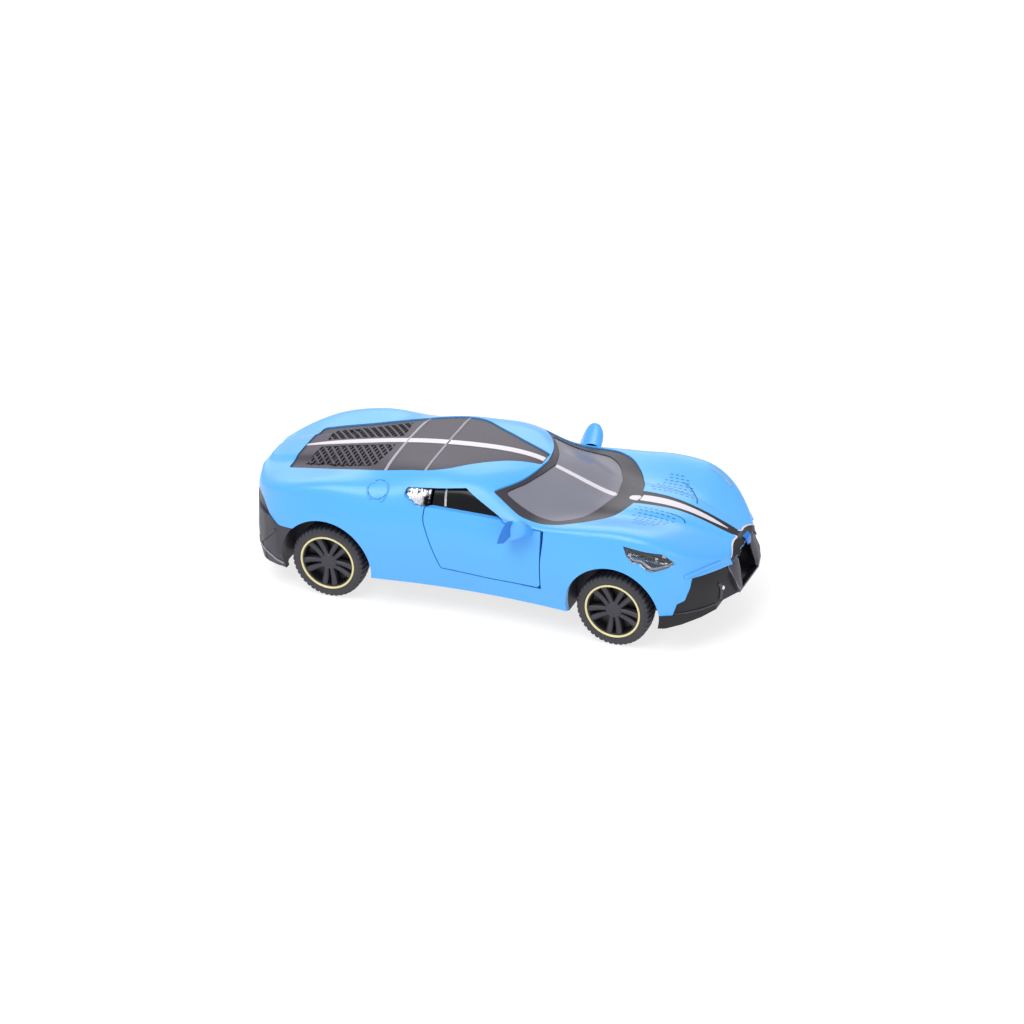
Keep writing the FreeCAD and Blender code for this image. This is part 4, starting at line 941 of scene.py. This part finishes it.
def barrel(end, name, sign):
    """The dished drum behind the spokes, turned as one closed ring."""
    spot = wheel_frame(end, sign)
    section = [(7.1, -0.35), (6.75, -0.6), (6.6, -1.4), (6.4, -3.0), (2.0, -3.2), (1.05, -3.2),
               (1.05, -7.3), (2.2, -7.3), (2.3, -3.9), (5.8, -3.9), (6.0, -7.95), (6.8, -7.95),
               (6.85, -0.9), (7.1, -0.35)]
    steps = 72
    points = []
    for radius, rise in section:
        for k in range(steps):
            points.append(spot(radius, WHEEL_FACE + rise, 2 * math.pi * k / steps))
    faces = grid_faces(len(section), steps, closed=True)
    drum = piece("%s_%s_barrel" % (end, name), mesh_from("barrel", points, faces), "bowl_black",
                 end + "_wheels")
    finish_edges(drum)
    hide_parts("%s_%s_rim" % (end, name))


# ---------------------------------------------------------------- camera, light and floor
TARGET = Vector((MIDDLE_X + 2.311, 0.0, 19.609)) * MM
AZIMUTH = math.radians(22.953)
ELEVATION = math.radians(28.489)
ROLL = math.radians(-2.049)
DISTANCE = 1500 * MM


def camera():
    """A long lens from the nose's right, above the car."""
    data = bpy.data.cameras.new("camera")
    data.sensor_width = 36.0
    data.lens = 201.24
    data.clip_start = 0.05
    data.clip_end = 20.0
    cam = bpy.data.objects.new("camera", data)
    bpy.context.scene.collection.objects.link(cam)
    back = Vector((math.sin(AZIMUTH) * math.cos(ELEVATION),
                   -math.cos(AZIMUTH) * math.cos(ELEVATION), math.sin(ELEVATION)))
    level = (-back).to_track_quat("-Z", "Y").to_matrix().to_4x4()
    place = Matrix.Translation(TARGET + back * DISTANCE)
    cam.matrix_world = place @ level @ Matrix.Rotation(ROLL, 4, "Z")
    bpy.context.scene.camera = cam


def softbox(name, place, size, power):
    """A square area light aimed at the car."""
    data = bpy.data.lights.new(name, "AREA")
    data.energy = power
    data.size = size
    lamp = bpy.data.objects.new(name, data)
    lamp.location = place
    lamp.rotation_mode = "QUATERNION"
    lamp.rotation_quaternion = (TARGET - Vector(place)).to_track_quat("-Z", "Y")
    bpy.context.scene.collection.objects.link(lamp)


def studio():
    """An even pale surround and three soft lamps."""
    world = bpy.data.worlds.new("studio")
    world.use_nodes = True
    sky = world.node_tree.nodes["Background"]
    sky.inputs["Color"].default_value = (0.98, 0.99, 1.0, 1.0)
    sky.inputs["Strength"].default_value = 0.62
    bpy.context.scene.world = world
    softbox("key", (-0.15, -0.35, 0.75), 0.6, 4.6)
    softbox("fill", (0.75, -0.55, 0.35), 0.6, 1.6)
    softbox("back", (-0.3, 0.7, 0.5), 0.6, 2.0)
    bpy.context.scene.view_settings.view_transform = "Standard"


def floor():
    """A wide bright floor that only the render sees."""
    mesh = bpy.data.meshes.new("floor")
    half = 3.0
    corners = [(-half, -half, 0), (half, -half, 0), (half, half, 0), (-half, half, 0)]
    mesh.from_pydata(corners, [], [(0, 1, 2, 3)])
    obj = bpy.data.objects.new("floor", mesh)
    bpy.context.scene.collection.objects.link(obj)
    mesh.materials.append(surface("floor", (150, 150, 152), 0.7, 0.004, 60, 0.0,
                                  Emission_Color=(1.0, 1.0, 1.0, 1.0), Emission_Strength=0.74))


dress_cad_nodes()
stripes()
vents()
bonnet()
seams()
flap_arcs()
creases()
headlights()
window_bars()
bumper_face()
nose_bowl()
nose_cheeks()
nose_flap()
bumper_lines()
nose_brow()
lamp_domes()
tail_lines()
tail_corners()
mirrors()
mirror_shade_patch()
for end in ("front", "rear"):
    for name, sign, _ in sides():
        tyre(end, name, sign)
        gold_ring(end, name, sign)
        barrel(end, name, sign)
        spokes(end, name, sign)
camera()
studio()
floor()
